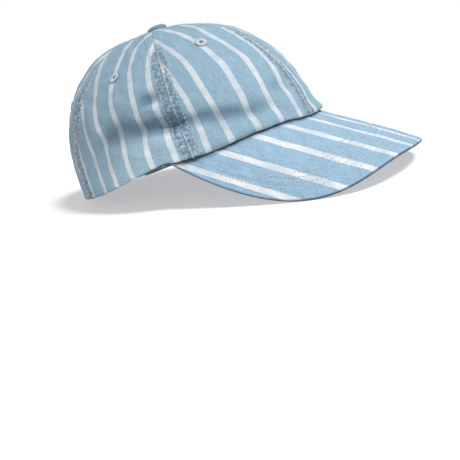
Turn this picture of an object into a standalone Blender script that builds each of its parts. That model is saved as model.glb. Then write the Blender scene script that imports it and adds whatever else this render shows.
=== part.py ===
"""A six-panel peaked cap in soft twill, at rest on its back strap and the two sides of its peak.

Metres, +Z up. The cap is drawn in its own frame, with the rim about level, the peak towards -Y and
the wearer's right towards -X, and is then tipped to the angle at which it rests by itself.
Directions round the crown are turns: 0 at the front, positive towards the wearer's right.
"""

import math
from collections import namedtuple

import bmesh
import bpy
import numpy as np
from mathutils import Vector

# The crown, over its cloth
RIM_LENGTH = 0.198
RIM_WIDTH = 0.176
CROWN_HEIGHT = 0.105
BUTTON_FORWARD = 0.002
BACK_RIM_RISE = 0.0022
BELLY = 0.0044
BELLY_TOP_SHARE = 0.8
FRONT_FULLNESS = 1.9
SIDE_FULLNESS = 2.0
BACK_FULLNESS = 2.9
FRONT_SEAM_TURN = math.radians(63.5)
BACK_SEAM_TURN = math.radians(124.5)
CLOTH = 0.0012
GAP = 0.0003
SEAM_PINCH = 0.0008
SEAM_PINCH_WIDTH = 0.006
GORE_RISE = 0.0014
BUTTON_HOLLOW = 0.003
BUTTON_HOLLOW_WIDTH = 0.045
TOP_HOLE_RADIUS = 0.0035

# The arch at the back and the strap that closes it
ARCH_WIDTH = 0.080
ARCH_HEIGHT = 0.044
ARCH_FULLNESS = 2.6
STRAP_WIDTH = 0.017
STRAP_THICKNESS = 0.0022
STRAP_OVERLAP = 0.026
STRAP_LIFT = 0.001

# The peak
PEAK_REACH = 0.0645
PEAK_SLOPE = math.radians(33)
PEAK_ARCH = 0.046
PEAK_ARCH_POWER = 3.0
PEAK_THICKNESS = 0.0034
PEAK_TUCK = 0.003
CORNER_TURN = math.radians(73)
CORNER_SPLAY = math.radians(7.5)
CORNER_PULL = 0.110
TIP_PULL = 0.058
RIM_BLEND = math.radians(45)

# The eyelets and the button
EYELET_WIDTH = 0.0084
EYELET_HOLE = 0.0026
EYELET_SLEEVE = 0.0038
EYELET_RISE = 0.0009
EYELET_HEIGHT_SHARE = 0.70
BUTTON_WIDTH = 0.0155
BUTTON_HEIGHT = 0.0048
BUTTON_EDGE = 0.0018

# Fineness of the faceted pieces
PANEL_COLUMNS = 13
PANEL_ROWS = 16
PEAK_COLUMNS = 36
PEAK_ROWS = 10
STRAP_COLUMNS = 24
STRAP_ROWS = 3
ROUND_SIDES = 16
LENGTH_SAMPLES = 80
STEP = 0.002

# The folds and dents: where each lies, as degrees of turn and a share of CROWN_HEIGHT, how far it
# spreads both ways, and how deep it goes, in shares of CROWN_HEIGHT, negative into the crown
Fold = namedtuple("Fold", "turn rise turn_spread rise_spread depth")
FOLDS = (
    # Hollows and the ridge between them, just behind the wearer's right front seam
    Fold(73.0, 0.475, 6.5, 0.045, -0.042),
    Fold(75.0, 0.350, 7.5, 0.045, -0.036),
    Fold(73.5, 0.415, 6.0, 0.025, 0.014),
    # The long soft hollow down the right side panel, and the fullness behind and below it
    Fold(97.0, 0.490, 9.0, 0.100, -0.026),
    Fold(105.5, 0.300, 7.0, 0.090, 0.018),
    Fold(86.0, 0.150, 12.0, 0.080, 0.014),
    # The slack band above the front rim and the roll under it, to the right
    Fold(50.0, 0.245, 12.0, 0.055, -0.028),
    Fold(33.0, 0.170, 10.0, 0.045, -0.018),
    Fold(44.0, 0.075, 22.0, 0.045, 0.020),
    Fold(13.5, 0.260, 7.0, 0.060, -0.020),
    # The same slackness to the left, lying a little otherwise
    Fold(-46.0, 0.225, 15.0, 0.055, -0.024),
    Fold(-38.0, 0.080, 20.0, 0.045, 0.017),
    Fold(-16.0, 0.300, 8.0, 0.070, -0.018),
    Fold(-71.0, 0.430, 7.0, 0.060, -0.034),
    Fold(-76.0, 0.310, 8.0, 0.045, -0.022),
    Fold(-99.0, 0.420, 10.0, 0.110, -0.022),
    Fold(-112.0, 0.200, 9.0, 0.080, 0.015),
    # The back: a bump high up on each side and a slack place above the arch
    Fold(139.0, 0.925, 14.0, 0.050, 0.014),
    Fold(-142.0, 0.900, 14.0, 0.050, 0.010),
    Fold(158.0, 0.640, 12.0, 0.080, -0.018),
    Fold(-164.0, 0.700, 12.0, 0.070, -0.014),
)

SEAM_TURNS = (0.0, FRONT_SEAM_TURN, BACK_SEAM_TURN, math.pi, -BACK_SEAM_TURN, -FRONT_SEAM_TURN)

# The six panels, each from one seam to the next, and how far round its eyelet lies
FRONT_EYELET_TURN = math.radians(36)
SIDE_EYELET_TURN = math.radians(92.5)
BACK_EYELET_TURN = math.radians(152)
Panel = namedtuple("Panel", "name start end eyelet_turn")
PANELS = (
    Panel("front_panel_right", 0.0, FRONT_SEAM_TURN, FRONT_EYELET_TURN),
    Panel("side_panel_right", FRONT_SEAM_TURN, BACK_SEAM_TURN, SIDE_EYELET_TURN),
    Panel("back_panel_right", BACK_SEAM_TURN, math.pi, BACK_EYELET_TURN),
    Panel("front_panel_left", -FRONT_SEAM_TURN, 0.0, -FRONT_EYELET_TURN),
    Panel("side_panel_left", -BACK_SEAM_TURN, -FRONT_SEAM_TURN, -SIDE_EYELET_TURN),
    Panel("back_panel_left", -math.pi, -BACK_SEAM_TURN, -BACK_EYELET_TURN),
)

# Linear colours
BLUE_TWILL = (0.36, 0.52, 0.64, 1.0)
PEAK_TWILL = (0.34, 0.49, 0.61, 1.0)
BUTTON_BLUE = (0.27, 0.43, 0.55, 1.0)
EYELET_THREAD = (0.62, 0.68, 0.76, 1.0)
TWILL_ROUGHNESS = 0.9
THREAD_ROUGHNESS = 0.7


def wrap(angle):
    """The same direction, as an angle from minus half a turn to half a turn."""
    return (np.asarray(angle) + math.pi) % (2 * math.pi) - math.pi


def smooth_fall(share):
    """1 at share 0 and below, 0 at share 1 and above, with no corner between."""
    left = 1 - np.clip(share, 0, 1)
    return left * left * (3 - 2 * left)


def rim_point(turn):
    """The rim seen from above: how far across and how far forward it is at a turn."""
    return RIM_WIDTH / 2 * np.sin(turn), RIM_LENGTH / 2 * np.cos(turn)


def peak_slopes(across):
    """How steeply the peak's top falls across and forward."""
    half_width = RIM_WIDTH / 2
    share = np.abs(across) / half_width
    fall_across = PEAK_ARCH * PEAK_ARCH_POWER / half_width * share ** (PEAK_ARCH_POWER - 1)
    return np.sign(across) * fall_across, math.tan(PEAK_SLOPE) + 0 * share


def peak_height(across, forward):
    """The peak's top over the rim's plane: a slope forward, bent down to both sides."""
    fall_forward = (forward - RIM_LENGTH / 2) * math.tan(PEAK_SLOPE)
    fall_across = PEAK_ARCH * (np.abs(across) / (RIM_WIDTH / 2)) ** PEAK_ARCH_POWER
    return -fall_forward - fall_across


def seat_height(across, forward):
    """The height at which the crown's edge sits on the peak, a small gap over it."""
    fall_across, fall_forward = peak_slopes(across)
    return peak_height(across, forward) + GAP * np.sqrt(1 + fall_across ** 2 + fall_forward ** 2)


def past_corner(turn):
    """How far a turn lies behind the peak's corner, 0 where the crown sits on the peak."""
    return np.maximum(np.abs(wrap(turn)) - CORNER_TURN, 0)


def rim_height(turn):
    """The rim's height: on the peak in front, easing to the level rim behind its corners."""
    seated = np.minimum(np.abs(wrap(turn)), CORNER_TURN)
    level = seat_height(*rim_point(seated)) * smooth_fall(past_corner(turn) / RIM_BLEND)
    return level + BACK_RIM_RISE * np.clip(-np.cos(turn), 0, 1)


def fullness(turn):
    """How square the crown's outline is from rim to button: 2 is an ellipse."""
    front = np.clip(np.cos(turn), 0, 1) ** 2
    back = np.clip(-np.cos(turn), 0, 1) ** 2
    return FRONT_FULLNESS * front + SIDE_FULLNESS * np.sin(turn) ** 2 + BACK_FULLNESS * back


def crown_rise(turn, climb):
    """The share of the crown's height that a climb of 0 to a quarter turn reaches."""
    return np.clip(np.sin(climb), 0, 1) ** (2 / fullness(turn))


def crown_base(turn, climb):
    """The crown's outer face without its seams and folds."""
    turn, climb = np.broadcast_arrays(turn, climb)
    reach = np.clip(np.cos(climb), 0, 1) ** (2 / fullness(turn))
    rise = crown_rise(turn, climb)
    across, forward = rim_point(turn)
    belly = BELLY * np.sin(math.pi * np.clip(rise / BELLY_TOP_SHARE, 0, 1)) * np.sin(turn) ** 2
    widening = 1 + belly / (RIM_WIDTH / 2)
    span = reach * np.hypot(across, forward)
    hollow = BUTTON_HOLLOW * np.exp(-(2 * span / BUTTON_HOLLOW_WIDTH) ** 2)
    x = -across * reach * widening
    y = -forward * reach - BUTTON_FORWARD * rise
    z = rim_height(turn) * (1 - rise) ** 2 + CROWN_HEIGHT * rise - hollow
    return np.stack([x, y, z], axis=-1)


def crown_relief(turn, rise):
    """How far seams, fullness between seams and folds lift the cloth off the plain crown."""
    turn, rise = np.broadcast_arrays(turn, rise)
    nearest = np.min([np.abs(wrap(turn - seam)) for seam in SEAM_TURNS], axis=0)
    round_share = np.sqrt(np.clip(1 - rise ** 2, 0, 1))
    across, forward = rim_point(turn)
    off_seam = nearest * np.hypot(across, forward) * round_share
    pinch = -SEAM_PINCH * np.exp(-(2 * off_seam / SEAM_PINCH_WIDTH) ** 2)
    relief = pinch + GORE_RISE * np.sin(3 * np.clip(nearest, 0, math.pi / 6)) * round_share * rise ** 0.5
    for fold in FOLDS:
        turned = np.degrees(wrap(turn - math.radians(fold.turn))) / fold.turn_spread
        risen = (rise - fold.rise) / fold.rise_spread
        relief = relief + fold.depth * CROWN_HEIGHT * np.exp(-turned ** 2 - risen ** 2)
    return relief


def crown_normal(turn, climb):
    """The outward direction of the plain crown."""
    along = crown_base(turn + STEP, climb) - crown_base(turn - STEP, climb)
    above = crown_base(turn, np.minimum(climb + STEP, math.pi / 2))
    normal = np.cross(above - crown_base(turn, np.maximum(climb - STEP, 0)), along)
    return normal / np.linalg.norm(normal, axis=-1, keepdims=True)


def crown_point(turn, climb, out=0.0):
    """A point of the crown's cloth, out above its outer face or below it where out is negative."""
    rise = crown_rise(turn, climb)
    base = crown_base(turn, climb)
    lift = crown_relief(turn, rise) + out
    point = base + crown_normal(turn, climb) * np.expand_dims(lift, -1)
    # The edge is cut to the slant of the peak that it sits on
    on_peak = smooth_fall(past_corner(turn) / (CORNER_TURN / 12)) * (1 - rise) ** 8
    slant = peak_height(-point[..., 0], -point[..., 1]) - peak_height(-base[..., 0], -base[..., 1])
    point[..., 2] += slant * on_peak
    return point


def climb_to_rise(turn, rise):
    """The climb that reaches a share of the crown's height."""
    return np.arcsin(np.clip(rise, 0, 1) ** (fullness(turn) / 2))


def climb_along(turn, share, top_radius):
    """The climb at a share of the cloth's length from the rim up to a small circle at the top."""
    reach_top = top_radius / np.hypot(*rim_point(turn))
    top = np.arccos(reach_top ** (fullness(turn) / 2))
    climbs = np.linspace(0, 1, LENGTH_SAMPLES)[:, None] * top
    steps = np.diff(crown_base(turn[None, :], climbs), axis=0)
    lengths = np.vstack([0 * turn, np.cumsum(np.linalg.norm(steps, axis=-1), axis=0)])
    pairs = zip(share, lengths.T, climbs.T)
    return np.array([np.interp(part * length[-1], length, climb) for part, length, climb in pairs])


def turn_per_metre(turn, climb):
    """How much turn one metre round the crown takes, at a climb."""
    width = np.linalg.norm(crown_base(turn + STEP, climb) - crown_base(turn - STEP, climb), axis=-1)
    return 2 * STEP / width


def sheet(name, columns, rows, place, finish):
    """A closed wall from a doubled grid: place(u, v, layer) puts each of its points."""
    mesh = bmesh.new()
    bmesh.ops.create_grid(mesh, x_segments=columns, y_segments=rows, size=0.5)
    doubled = bmesh.ops.extrude_face_region(mesh, geom=mesh.faces[:], use_keep_orig=True)
    inner = {item for item in doubled["geom"] if isinstance(item, bmesh.types.BMVert)}
    verts = list(mesh.verts)
    layer = np.array([1.0 if vert in inner else 0.0 for vert in verts])
    flat = np.array([vert.co[:2] for vert in verts]) + 0.5
    for vert, point in zip(verts, place(flat[:, 0], flat[:, 1], layer)):
        vert.co = point
    bmesh.ops.recalc_face_normals(mesh, faces=mesh.faces[:])
    if mesh.calc_volume(signed=True) < 0:
        bmesh.ops.reverse_faces(mesh, faces=mesh.faces[:])
    return add_mesh(name, mesh, finish)


def add_mesh(name, mesh, finish):
    """A new object from a bmesh, under the tipped empty, smooth but for its edges."""
    data = bpy.data.meshes.new(name)
    mesh.to_mesh(data)
    mesh.free()
    data.materials.append(finish)
    data.shade_smooth()
    data.set_sharp_from_angle(angle=math.radians(40))
    piece = bpy.data.objects.new(name, data)
    pieces.objects.link(piece)
    piece.parent = tipped
    return piece


def add_cutter(name, mesh, target):
    """A hidden solid that is cut out of a target."""
    data = bpy.data.meshes.new(name)
    mesh.to_mesh(data)
    mesh.free()
    cutter = bpy.data.objects.new(name, data)
    cutters.objects.link(cutter)
    cutter.parent = tipped
    cutter.hide_render = True
    cutter.display_type = "WIRE"
    cut = target.modifiers.new(name, "BOOLEAN")
    cut.operation = "DIFFERENCE"
    cut.object = cutter
    return cutter


def finish_of(name, colour, roughness):
    """A plain cloth or thread."""
    finish = bpy.data.materials.new(name)
    finish.use_nodes = True
    shader = finish.node_tree.nodes["Principled BSDF"]
    shader.inputs["Base Color"].default_value = colour
    shader.inputs["Roughness"].default_value = roughness
    shader.inputs["Metallic"].default_value = 0.0
    return finish


def add_panel(panel, finish):
    """One of the crown's six gores, from the rim to the small hole under the button."""

    def place(u, v, layer):
        turn = panel.start + u * (panel.end - panel.start)
        climb = climb_along(turn, v, TOP_HOLE_RADIUS)
        inset = (1 - 2 * u) * GAP / 2 * turn_per_metre(turn, climb)
        return crown_point(turn + inset, climb, -CLOTH * layer)

    return sheet(panel.name, PANEL_COLUMNS, PANEL_ROWS, place, finish)


def cut_arch(panel):
    """The arch over the strap, cut through a back panel: upright feet and a round top."""
    outline = bmesh.new()
    bmesh.ops.create_circle(outline, cap_ends=True, segments=40, radius=1.0)
    for vert in outline.verts:
        side = math.copysign(abs(vert.co.x) ** (2 / ARCH_FULLNESS), vert.co.x)
        up = math.copysign(abs(vert.co.y) ** (2 / ARCH_FULLNESS), vert.co.y)
        vert.co = Vector((side * ARCH_WIDTH / 2, RIM_LENGTH / 4, up * ARCH_HEIGHT))
    body = bmesh.ops.extrude_face_region(outline, geom=outline.faces[:], use_keep_orig=True)
    moved = [item for item in body["geom"] if isinstance(item, bmesh.types.BMVert)]
    bmesh.ops.translate(outline, verts=moved, vec=(0, RIM_LENGTH / 2, 0))
    bmesh.ops.recalc_face_normals(outline, faces=outline.faces[:])
    add_cutter("arch_of_" + panel.name, outline, panel)


def eyelet_seat(panel):
    """The middle of a panel's eyelet on the outer face, and the frame that stands out from it."""
    turn = np.array([panel.eyelet_turn])
    climb = climb_to_rise(turn, EYELET_HEIGHT_SHARE)
    reach = EYELET_WIDTH / 2 * turn_per_metre(turn, climb)
    centre = Vector(crown_point(turn, climb)[0])
    beside = Vector((crown_point(turn + reach, climb) - crown_point(turn - reach, climb))[0])
    lift = EYELET_WIDTH / 2 / CROWN_HEIGHT
    above = Vector((crown_point(turn, climb + lift) - crown_point(turn, climb - lift))[0])
    out = above.cross(beside).normalized()
    return centre, out.to_track_quat("Z", "Y")


def add_eyelet(panel_piece, panel, finish):
    """A stitched eyelet: a flat ring on the cloth and a sleeve through the hole cut for it."""
    centre, facing = eyelet_seat(panel)
    hole = bmesh.new()
    hole_radius = EYELET_SLEEVE / 2 + GAP
    bmesh.ops.create_cone(hole, cap_ends=True, segments=ROUND_SIDES, radius1=hole_radius,
                          radius2=hole_radius, depth=8 * CLOTH)
    cutter = add_cutter("hole_for_eyelet_" + panel.name, hole, panel_piece)
    cutter.location = centre
    cutter.rotation_mode = "QUATERNION"
    cutter.rotation_quaternion = facing

    foot = GAP
    top = foot + EYELET_RISE
    profile = (
        (EYELET_HOLE / 2, top - EYELET_RISE / 3),
        (EYELET_HOLE / 2 + EYELET_RISE / 2, top),
        (EYELET_WIDTH / 2 - EYELET_RISE / 2, top),
        (EYELET_WIDTH / 2, foot + EYELET_RISE / 3),
        (EYELET_WIDTH / 2, foot),
        (EYELET_SLEEVE / 2, foot),
        (EYELET_SLEEVE / 2, -CLOTH),
        (EYELET_HOLE / 2, -CLOTH),
    )
    ring = turned("eyelet_" + panel.name.replace("_panel", ""), profile, True, finish)
    ring.location = centre
    ring.rotation_mode = "QUATERNION"
    ring.rotation_quaternion = facing


def turned(name, profile, closed, finish):
    """A solid turned round Z from a profile of (radius, height) that runs down its outer side."""
    mesh = bmesh.new()
    verts = [mesh.verts.new((radius, 0, height)) for radius, height in profile]
    for first, second in zip(verts, verts[1:]):
        mesh.edges.new((first, second))
    if closed:
        mesh.edges.new((verts[-1], verts[0]))
    piece = add_mesh(name, mesh, finish)
    screw = piece.modifiers.new("turn", "SCREW")
    screw.steps = ROUND_SIDES
    screw.render_steps = ROUND_SIDES
    screw.use_merge_vertices = True
    screw.merge_threshold = 0.00001
    screw.use_smooth_shade = True
    return piece


def add_button(finish):
    """The covered button on the crown's top, with its stem through the hole where panels meet."""
    turns = np.linspace(-math.pi, math.pi, 25)
    climbs = np.arccos((BUTTON_WIDTH / 2 / np.hypot(*rim_point(turns))) ** (fullness(turns) / 2))
    around = crown_point(turns, climbs)[:, 2].max()
    middle = crown_point(turns, climb_along(turns, 0 * turns + 1, TOP_HOLE_RADIUS))[:, 2].max()
    seat = max(around, middle) + GAP
    radius = BUTTON_WIDTH / 2
    stem = TOP_HOLE_RADIUS - GAP
    dome = [math.radians(angle) for angle in (90, 66, 44, 22, 0)]
    profile = [(radius * math.cos(angle), seat + BUTTON_EDGE + (BUTTON_HEIGHT - BUTTON_EDGE) * math.sin(angle))
               for angle in dome]
    profile[0] = (0, seat + BUTTON_HEIGHT)
    profile += [(radius * 0.94, seat), (stem, seat), (stem, seat - 2 * CLOTH), (0, seat - 2 * CLOTH)]
    button = turned("top_button", profile, False, finish)
    button.location = (0, -BUTTON_FORWARD, 0)


def peak_outline(share):
    """The peak's outer edge seen from above, from its corner at share 0 to the middle of its tip."""
    corner = np.array(rim_point(CORNER_TURN))
    tip = np.array([0, RIM_LENGTH / 2 + PEAK_REACH])
    corner_pull = corner + CORNER_PULL * np.array([math.sin(CORNER_SPLAY), math.cos(CORNER_SPLAY)])
    tip_pull = tip + np.array([TIP_PULL, 0])
    share = np.asarray(share)[:, None]
    left = 1 - share
    return (left ** 3 * corner + 3 * left ** 2 * share * corner_pull
            + 3 * left * share ** 2 * tip_pull + share ** 3 * tip)


def add_peak(finish):
    """The stiff peak: a plate on the bent slope, tucked under the crown's edge, round at its rim."""
    half_thickness = PEAK_THICKNESS / 2

    def place(u, v, layer):
        side = 2 * u - 1
        inner_turn = side * CORNER_TURN
        across, forward = rim_point(inner_turn)
        tuck = 1 - (CLOTH + PEAK_TUCK) / np.hypot(across, forward)
        outer = peak_outline(1 - np.abs(side))
        outer[:, 0] *= np.sign(side)
        out = np.sin(v * math.pi / 2)
        across, forward = across * tuck, forward * tuck
        across_now = across + (outer[:, 0] - across) * out
        forward_now = forward + (outer[:, 1] - forward) * out
        edge = np.hypot(outer[:, 0] - across_now, outer[:, 1] - forward_now)
        from_round = np.clip(1 - edge / half_thickness, 0, 1)
        half = half_thickness * np.maximum(np.sqrt(1 - from_round ** 2), 0.2)
        fall_across, fall_forward = peak_slopes(across_now)
        normal = np.stack([fall_across, fall_forward, 0 * across_now + 1], axis=-1)
        normal /= np.linalg.norm(normal, axis=-1, keepdims=True)
        top = np.stack([across_now, forward_now, peak_height(across_now, forward_now)], axis=-1)
        depth = half_thickness - half + 2 * half * layer
        point = top - normal * depth[:, None]
        return point * np.array([-1, -1, 1])

    return sheet("peak", PEAK_COLUMNS, PEAK_ROWS, place, finish)


def add_strap(finish):
    """The strap across the foot of the arch, its ends inside the back panels."""
    half_angle = math.asin(ARCH_WIDTH / RIM_WIDTH)
    reach = half_angle + STRAP_OVERLAP / (RIM_WIDTH / 2)

    def place(u, v, layer):
        turn = math.pi + (2 * u - 1) * reach
        climb = climb_to_rise(turn, (STRAP_LIFT + v * STRAP_WIDTH) / CROWN_HEIGHT)
        inside = CLOTH + GAP + STRAP_THICKNESS * layer
        return crown_base(turn, climb) - crown_normal(turn, climb) * inside[:, None]

    return sheet("back_strap", STRAP_COLUMNS, STRAP_ROWS, place, finish)


def world_points(piece):
    """The points of a piece as it is shown, in world axes."""
    shown = piece.evaluated_get(bpy.context.evaluated_depsgraph_get())
    data = shown.to_mesh()
    points = np.array([piece.matrix_world @ vert.co for vert in data.vertices])
    shown.to_mesh_clear()
    return points


def rest_angle(front_points, back_points):
    """The tip at which the peak's lowest edge and the back's lowest edge are level."""
    low, high = 0.0, math.radians(45)
    for _ in range(40):
        angle = (low + high) / 2
        weigh = np.array([0, -math.sin(angle), math.cos(angle)])
        if (front_points @ weigh).min() < (back_points @ weigh).min():
            low = angle
        else:
            high = angle
    return (low + high) / 2


for leftover in list(bpy.data.objects):
    bpy.data.objects.remove(leftover, do_unlink=True)

pieces = bpy.data.collections.new("peaked_cap")
cutters = bpy.data.collections.new("cutters")
bpy.context.scene.collection.children.link(pieces)
bpy.context.scene.collection.children.link(cutters)
tipped = bpy.data.objects.new("tipped", None)
pieces.objects.link(tipped)

twill = finish_of("striped_twill", BLUE_TWILL, TWILL_ROUGHNESS)
peak_twill = finish_of("peak_twill", PEAK_TWILL, TWILL_ROUGHNESS)
button_twill = finish_of("button_twill", BUTTON_BLUE, TWILL_ROUGHNESS)
eyelet_thread = finish_of("eyelet_thread", EYELET_THREAD, THREAD_ROUGHNESS)

panel_pieces = []
for panel in PANELS:
    panel_piece = add_panel(panel, twill)
    if panel.name.startswith("back"):
        cut_arch(panel_piece)
    add_eyelet(panel_piece, panel, eyelet_thread)
    panel_pieces.append(panel_piece)
add_button(button_twill)
peak = add_peak(peak_twill)
strap = add_strap(twill)

# The cap is tipped to its rest and stood on the floor, centred
bpy.context.view_layer.update()
back_points = np.vstack([world_points(piece) for piece in panel_pieces + [strap]])
tipped.rotation_euler.x = -rest_angle(world_points(peak), back_points)
bpy.context.view_layer.update()
everything = np.vstack([world_points(piece) for piece in pieces.objects if piece.type == "MESH"])
lowest, highest = everything.min(axis=0), everything.max(axis=0)
tipped.location = (-(lowest[0] + highest[0]) / 2, -(lowest[1] + highest[1]) / 2, -lowest[2])
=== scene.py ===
"""Looks of a six-panel peaked cap in striped cotton twill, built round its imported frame.

Metres, +Z up, the peak towards -Y and the wearer's right towards -X. The cloth is worked out in the
cap's own frame, with its rim about level, and then tipped to the rest that the frame has.
Directions round the crown are turns: 0 at the front, positive towards the wearer's right.
"""

import math
from collections import namedtuple

import bmesh
import bpy
import numpy as np
from mathutils import Matrix, Vector


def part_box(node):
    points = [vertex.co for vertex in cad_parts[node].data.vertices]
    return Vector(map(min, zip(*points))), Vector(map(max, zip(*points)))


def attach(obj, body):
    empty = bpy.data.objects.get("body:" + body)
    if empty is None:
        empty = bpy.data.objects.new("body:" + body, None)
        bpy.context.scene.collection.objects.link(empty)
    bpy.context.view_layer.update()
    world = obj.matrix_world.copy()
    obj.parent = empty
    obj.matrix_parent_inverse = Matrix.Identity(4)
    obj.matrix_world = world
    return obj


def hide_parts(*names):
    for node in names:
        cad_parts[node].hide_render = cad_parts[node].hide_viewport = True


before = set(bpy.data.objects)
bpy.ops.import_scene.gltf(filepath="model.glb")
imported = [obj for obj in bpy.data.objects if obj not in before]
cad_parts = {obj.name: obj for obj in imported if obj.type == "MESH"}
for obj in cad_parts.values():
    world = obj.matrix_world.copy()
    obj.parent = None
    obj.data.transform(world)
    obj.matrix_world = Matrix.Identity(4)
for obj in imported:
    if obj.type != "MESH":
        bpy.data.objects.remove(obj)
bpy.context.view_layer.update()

bl_info = {
    "name": "Peaked Cap",
    "version": (1, 0, 0),
    "blender": (4, 5, 0),
    "location": "3D View > Sidebar > Peaked Cap",
    "description": "Makes a striped twill cap round its frame, and the stage it is shown on",
    "category": "Object",
}

MILLIMETRES = 1000

# How the cap is tipped at rest, and where its own frame then stands
REST_TIP = 0.2332897484
REST_PLACE = np.array([0.0005232766, 0.0326674841, 0.0194921642])

# The crown, over its cloth, as the frame has it
RIM_LENGTH = 0.198
RIM_WIDTH = 0.176
CROWN_HEIGHT = 0.105
BUTTON_FORWARD = 0.002
BACK_RIM_RISE = 0.0022
BELLY = 0.0044
BELLY_TOP_SHARE = 0.8
FRONT_FULLNESS = 1.9
SIDE_FULLNESS = 2.0
BACK_FULLNESS = 2.9
FRONT_SEAM_TURN = math.radians(63.5)
BACK_SEAM_TURN = math.radians(124.5)
CLOTH = 0.0012
GAP = 0.0003
SEAM_PINCH = 0.0008
SEAM_PINCH_WIDTH = 0.006
GORE_RISE = 0.0014
GORE_WAVES = 3
BUTTON_HOLLOW = 0.003
BUTTON_HOLLOW_WIDTH = 0.045
TOP_HOLE_RADIUS = 0.0035

# The arch and the strap
ARCH_WIDTH = 0.080
ARCH_HEIGHT = 0.044
ARCH_FULLNESS = 2.6
STRAP_WIDTH = 0.017
STRAP_THICKNESS = 0.0022
STRAP_OVERLAP = 0.026
STRAP_LIFT = 0.001

# The peak
PEAK_REACH = 0.0645
PEAK_SLOPE = math.radians(33)
PEAK_ARCH = 0.046
PEAK_ARCH_POWER = 3.0
PEAK_THICKNESS = 0.0034
PEAK_TUCK = 0.003
CORNER_TURN = math.radians(73)
SEAT_BLEND = CORNER_TURN / 12
SEAT_POWER = 8
CORNER_SPLAY = math.radians(7.5)
CORNER_PULL = 0.110
TIP_PULL = 0.058
RIM_BLEND = math.radians(45)
# From across, forward and up to the cap's own axes
PEAK_AXES = np.array([-1, -1, 1])

# The eyelets and the button
EYELET_WIDTH = 0.0084
EYELET_HOLE = 0.0026
EYELET_SLEEVE = 0.0038
EYELET_RISE = 0.0009
EYELET_HEIGHT_SHARE = 0.70
BUTTON_WIDTH = 0.0155

# Folds and dents, near where the frame has them
Fold = namedtuple("Fold", "turn rise turn_spread rise_spread depth")
FOLDS = (
    Fold(73.0, 0.470, 6.5, 0.045, -0.030),
    Fold(72.0, 0.285, 9.5, 0.060, -0.054),
    Fold(74.0, 0.385, 7.0, 0.030, 0.014),
    Fold(97.0, 0.350, 11.0, 0.090, -0.026),
    Fold(107.0, 0.420, 8.0, 0.110, 0.016),
    Fold(86.0, 0.110, 14.0, 0.070, 0.016),
    Fold(54.0, 0.235, 8.0, 0.045, -0.030),
    Fold(44.0, 0.190, 9.0, 0.045, -0.026),
    Fold(32.0, 0.145, 10.0, 0.045, -0.024),
    Fold(44.0, 0.052, 22.0, 0.036, 0.018),
    Fold(13.5, 0.260, 7.0, 0.060, -0.020),
    Fold(-46.0, 0.225, 15.0, 0.055, -0.024),
    Fold(-38.0, 0.080, 20.0, 0.045, 0.017),
    Fold(-16.0, 0.300, 8.0, 0.070, -0.018),
    Fold(-71.0, 0.430, 7.0, 0.060, -0.034),
    Fold(-76.0, 0.310, 8.0, 0.045, -0.022),
    Fold(-99.0, 0.420, 10.0, 0.110, -0.022),
    Fold(-112.0, 0.200, 9.0, 0.080, 0.015),
    Fold(139.0, 0.925, 14.0, 0.050, 0.014),
    Fold(-142.0, 0.900, 14.0, 0.050, 0.010),
    Fold(158.0, 0.640, 12.0, 0.080, -0.018),
    Fold(-164.0, 0.700, 12.0, 0.070, -0.014),
)
# How the soft cloth settles beyond the frame's folds: first sunken in front of the button and rolled
# out over the peak at the foot of the front, then beside the right front seam
SETTLING = (
    Fold(-15.0, 0.940, 70.0, 0.110, -0.0235),
    Fold(-27.0, 0.036, 19.0, 0.034, 0.042),
    Fold(-30.0, 0.480, 14.0, 0.220, 0.010),
    Fold(72.0, 0.475, 6.5, 0.040, -0.004),
    Fold(67.0, 0.245, 6.0, 0.042, -0.040),
    Fold(85.0, 0.340, 9.0, 0.100, -0.024),
    Fold(90.0, 0.560, 10.0, 0.100, 0.010),
)
# The folds whose hollows are darkened with painted shade
PAINTED_SHADE_FOLDS = FOLDS + SETTLING[2:]
SEAM_TURNS = np.array([0.0, FRONT_SEAM_TURN, BACK_SEAM_TURN, math.pi, -BACK_SEAM_TURN, -FRONT_SEAM_TURN])

# Each panel: the node it stands for, where it starts and ends, its eyelet, and how its stripes lie
Panel = namedtuple("Panel", "node start end eyelet_turn grain")

# How the stripes lie on a panel: at each share of the way up, how far from the middle of the panel
# each of its stripes is, in millimetres towards the wearer's right, from the leftmost stripe on
FRONT_RIGHT_GRAIN = (
    (0.00, (-36.4, -16.2, 3.6, 24.1, 40.6)),
    (0.15, (-33.5, -13.4, 4.3, 25.2, 39.2)),
    (0.26, (-34.5, -14.9, 4.0, 26.4, 38.4)),
    (0.36, (-35.0, -15.6, 3.2, 25.4, 38.6)),
    (0.46, (-30.5, -9.8, 5.6, 24.0, 38.0)),
    (0.57, (-25.5, -5.2, 7.2, 26.0, 36.6)),
    (0.72, (-25.0, -4.5, 10.0, 26.0, 38.0)),
    (1.00, (-25.0, -4.5, 12.0, 28.0, 46.0)),
)
SIDE_RIGHT_GRAIN = (
    (0.00, (-42.5, -24.2, -6.2, 9.6, 26.0)),
    (0.15, (-41.6, -26.6, -8.8, 7.6, 21.8)),
    (0.30, (-37.0, -22.4, -5.0, 12.2, 26.0)),
    (0.42, (-32.2, -19.8, -1.4, 15.6, 34.0)),
    (0.55, (-29.4, -14.5, -1.8, 19.5, 42.0)),
    (0.70, (-29.0, -13.5, -2.6, 22.0, 44.0)),
    (0.82, (-36.0, -20.0, -3.0, 22.0, 44.0)),
    (1.00, (-40.0, -22.0, -3.0, 20.0, 40.0)),
)
EVEN_GRAIN = ((0.0, (-40.0, -20.0, 0.0, 20.0, 40.0)), (1.0, (-40.0, -20.0, 0.0, 20.0, 40.0)))
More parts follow.
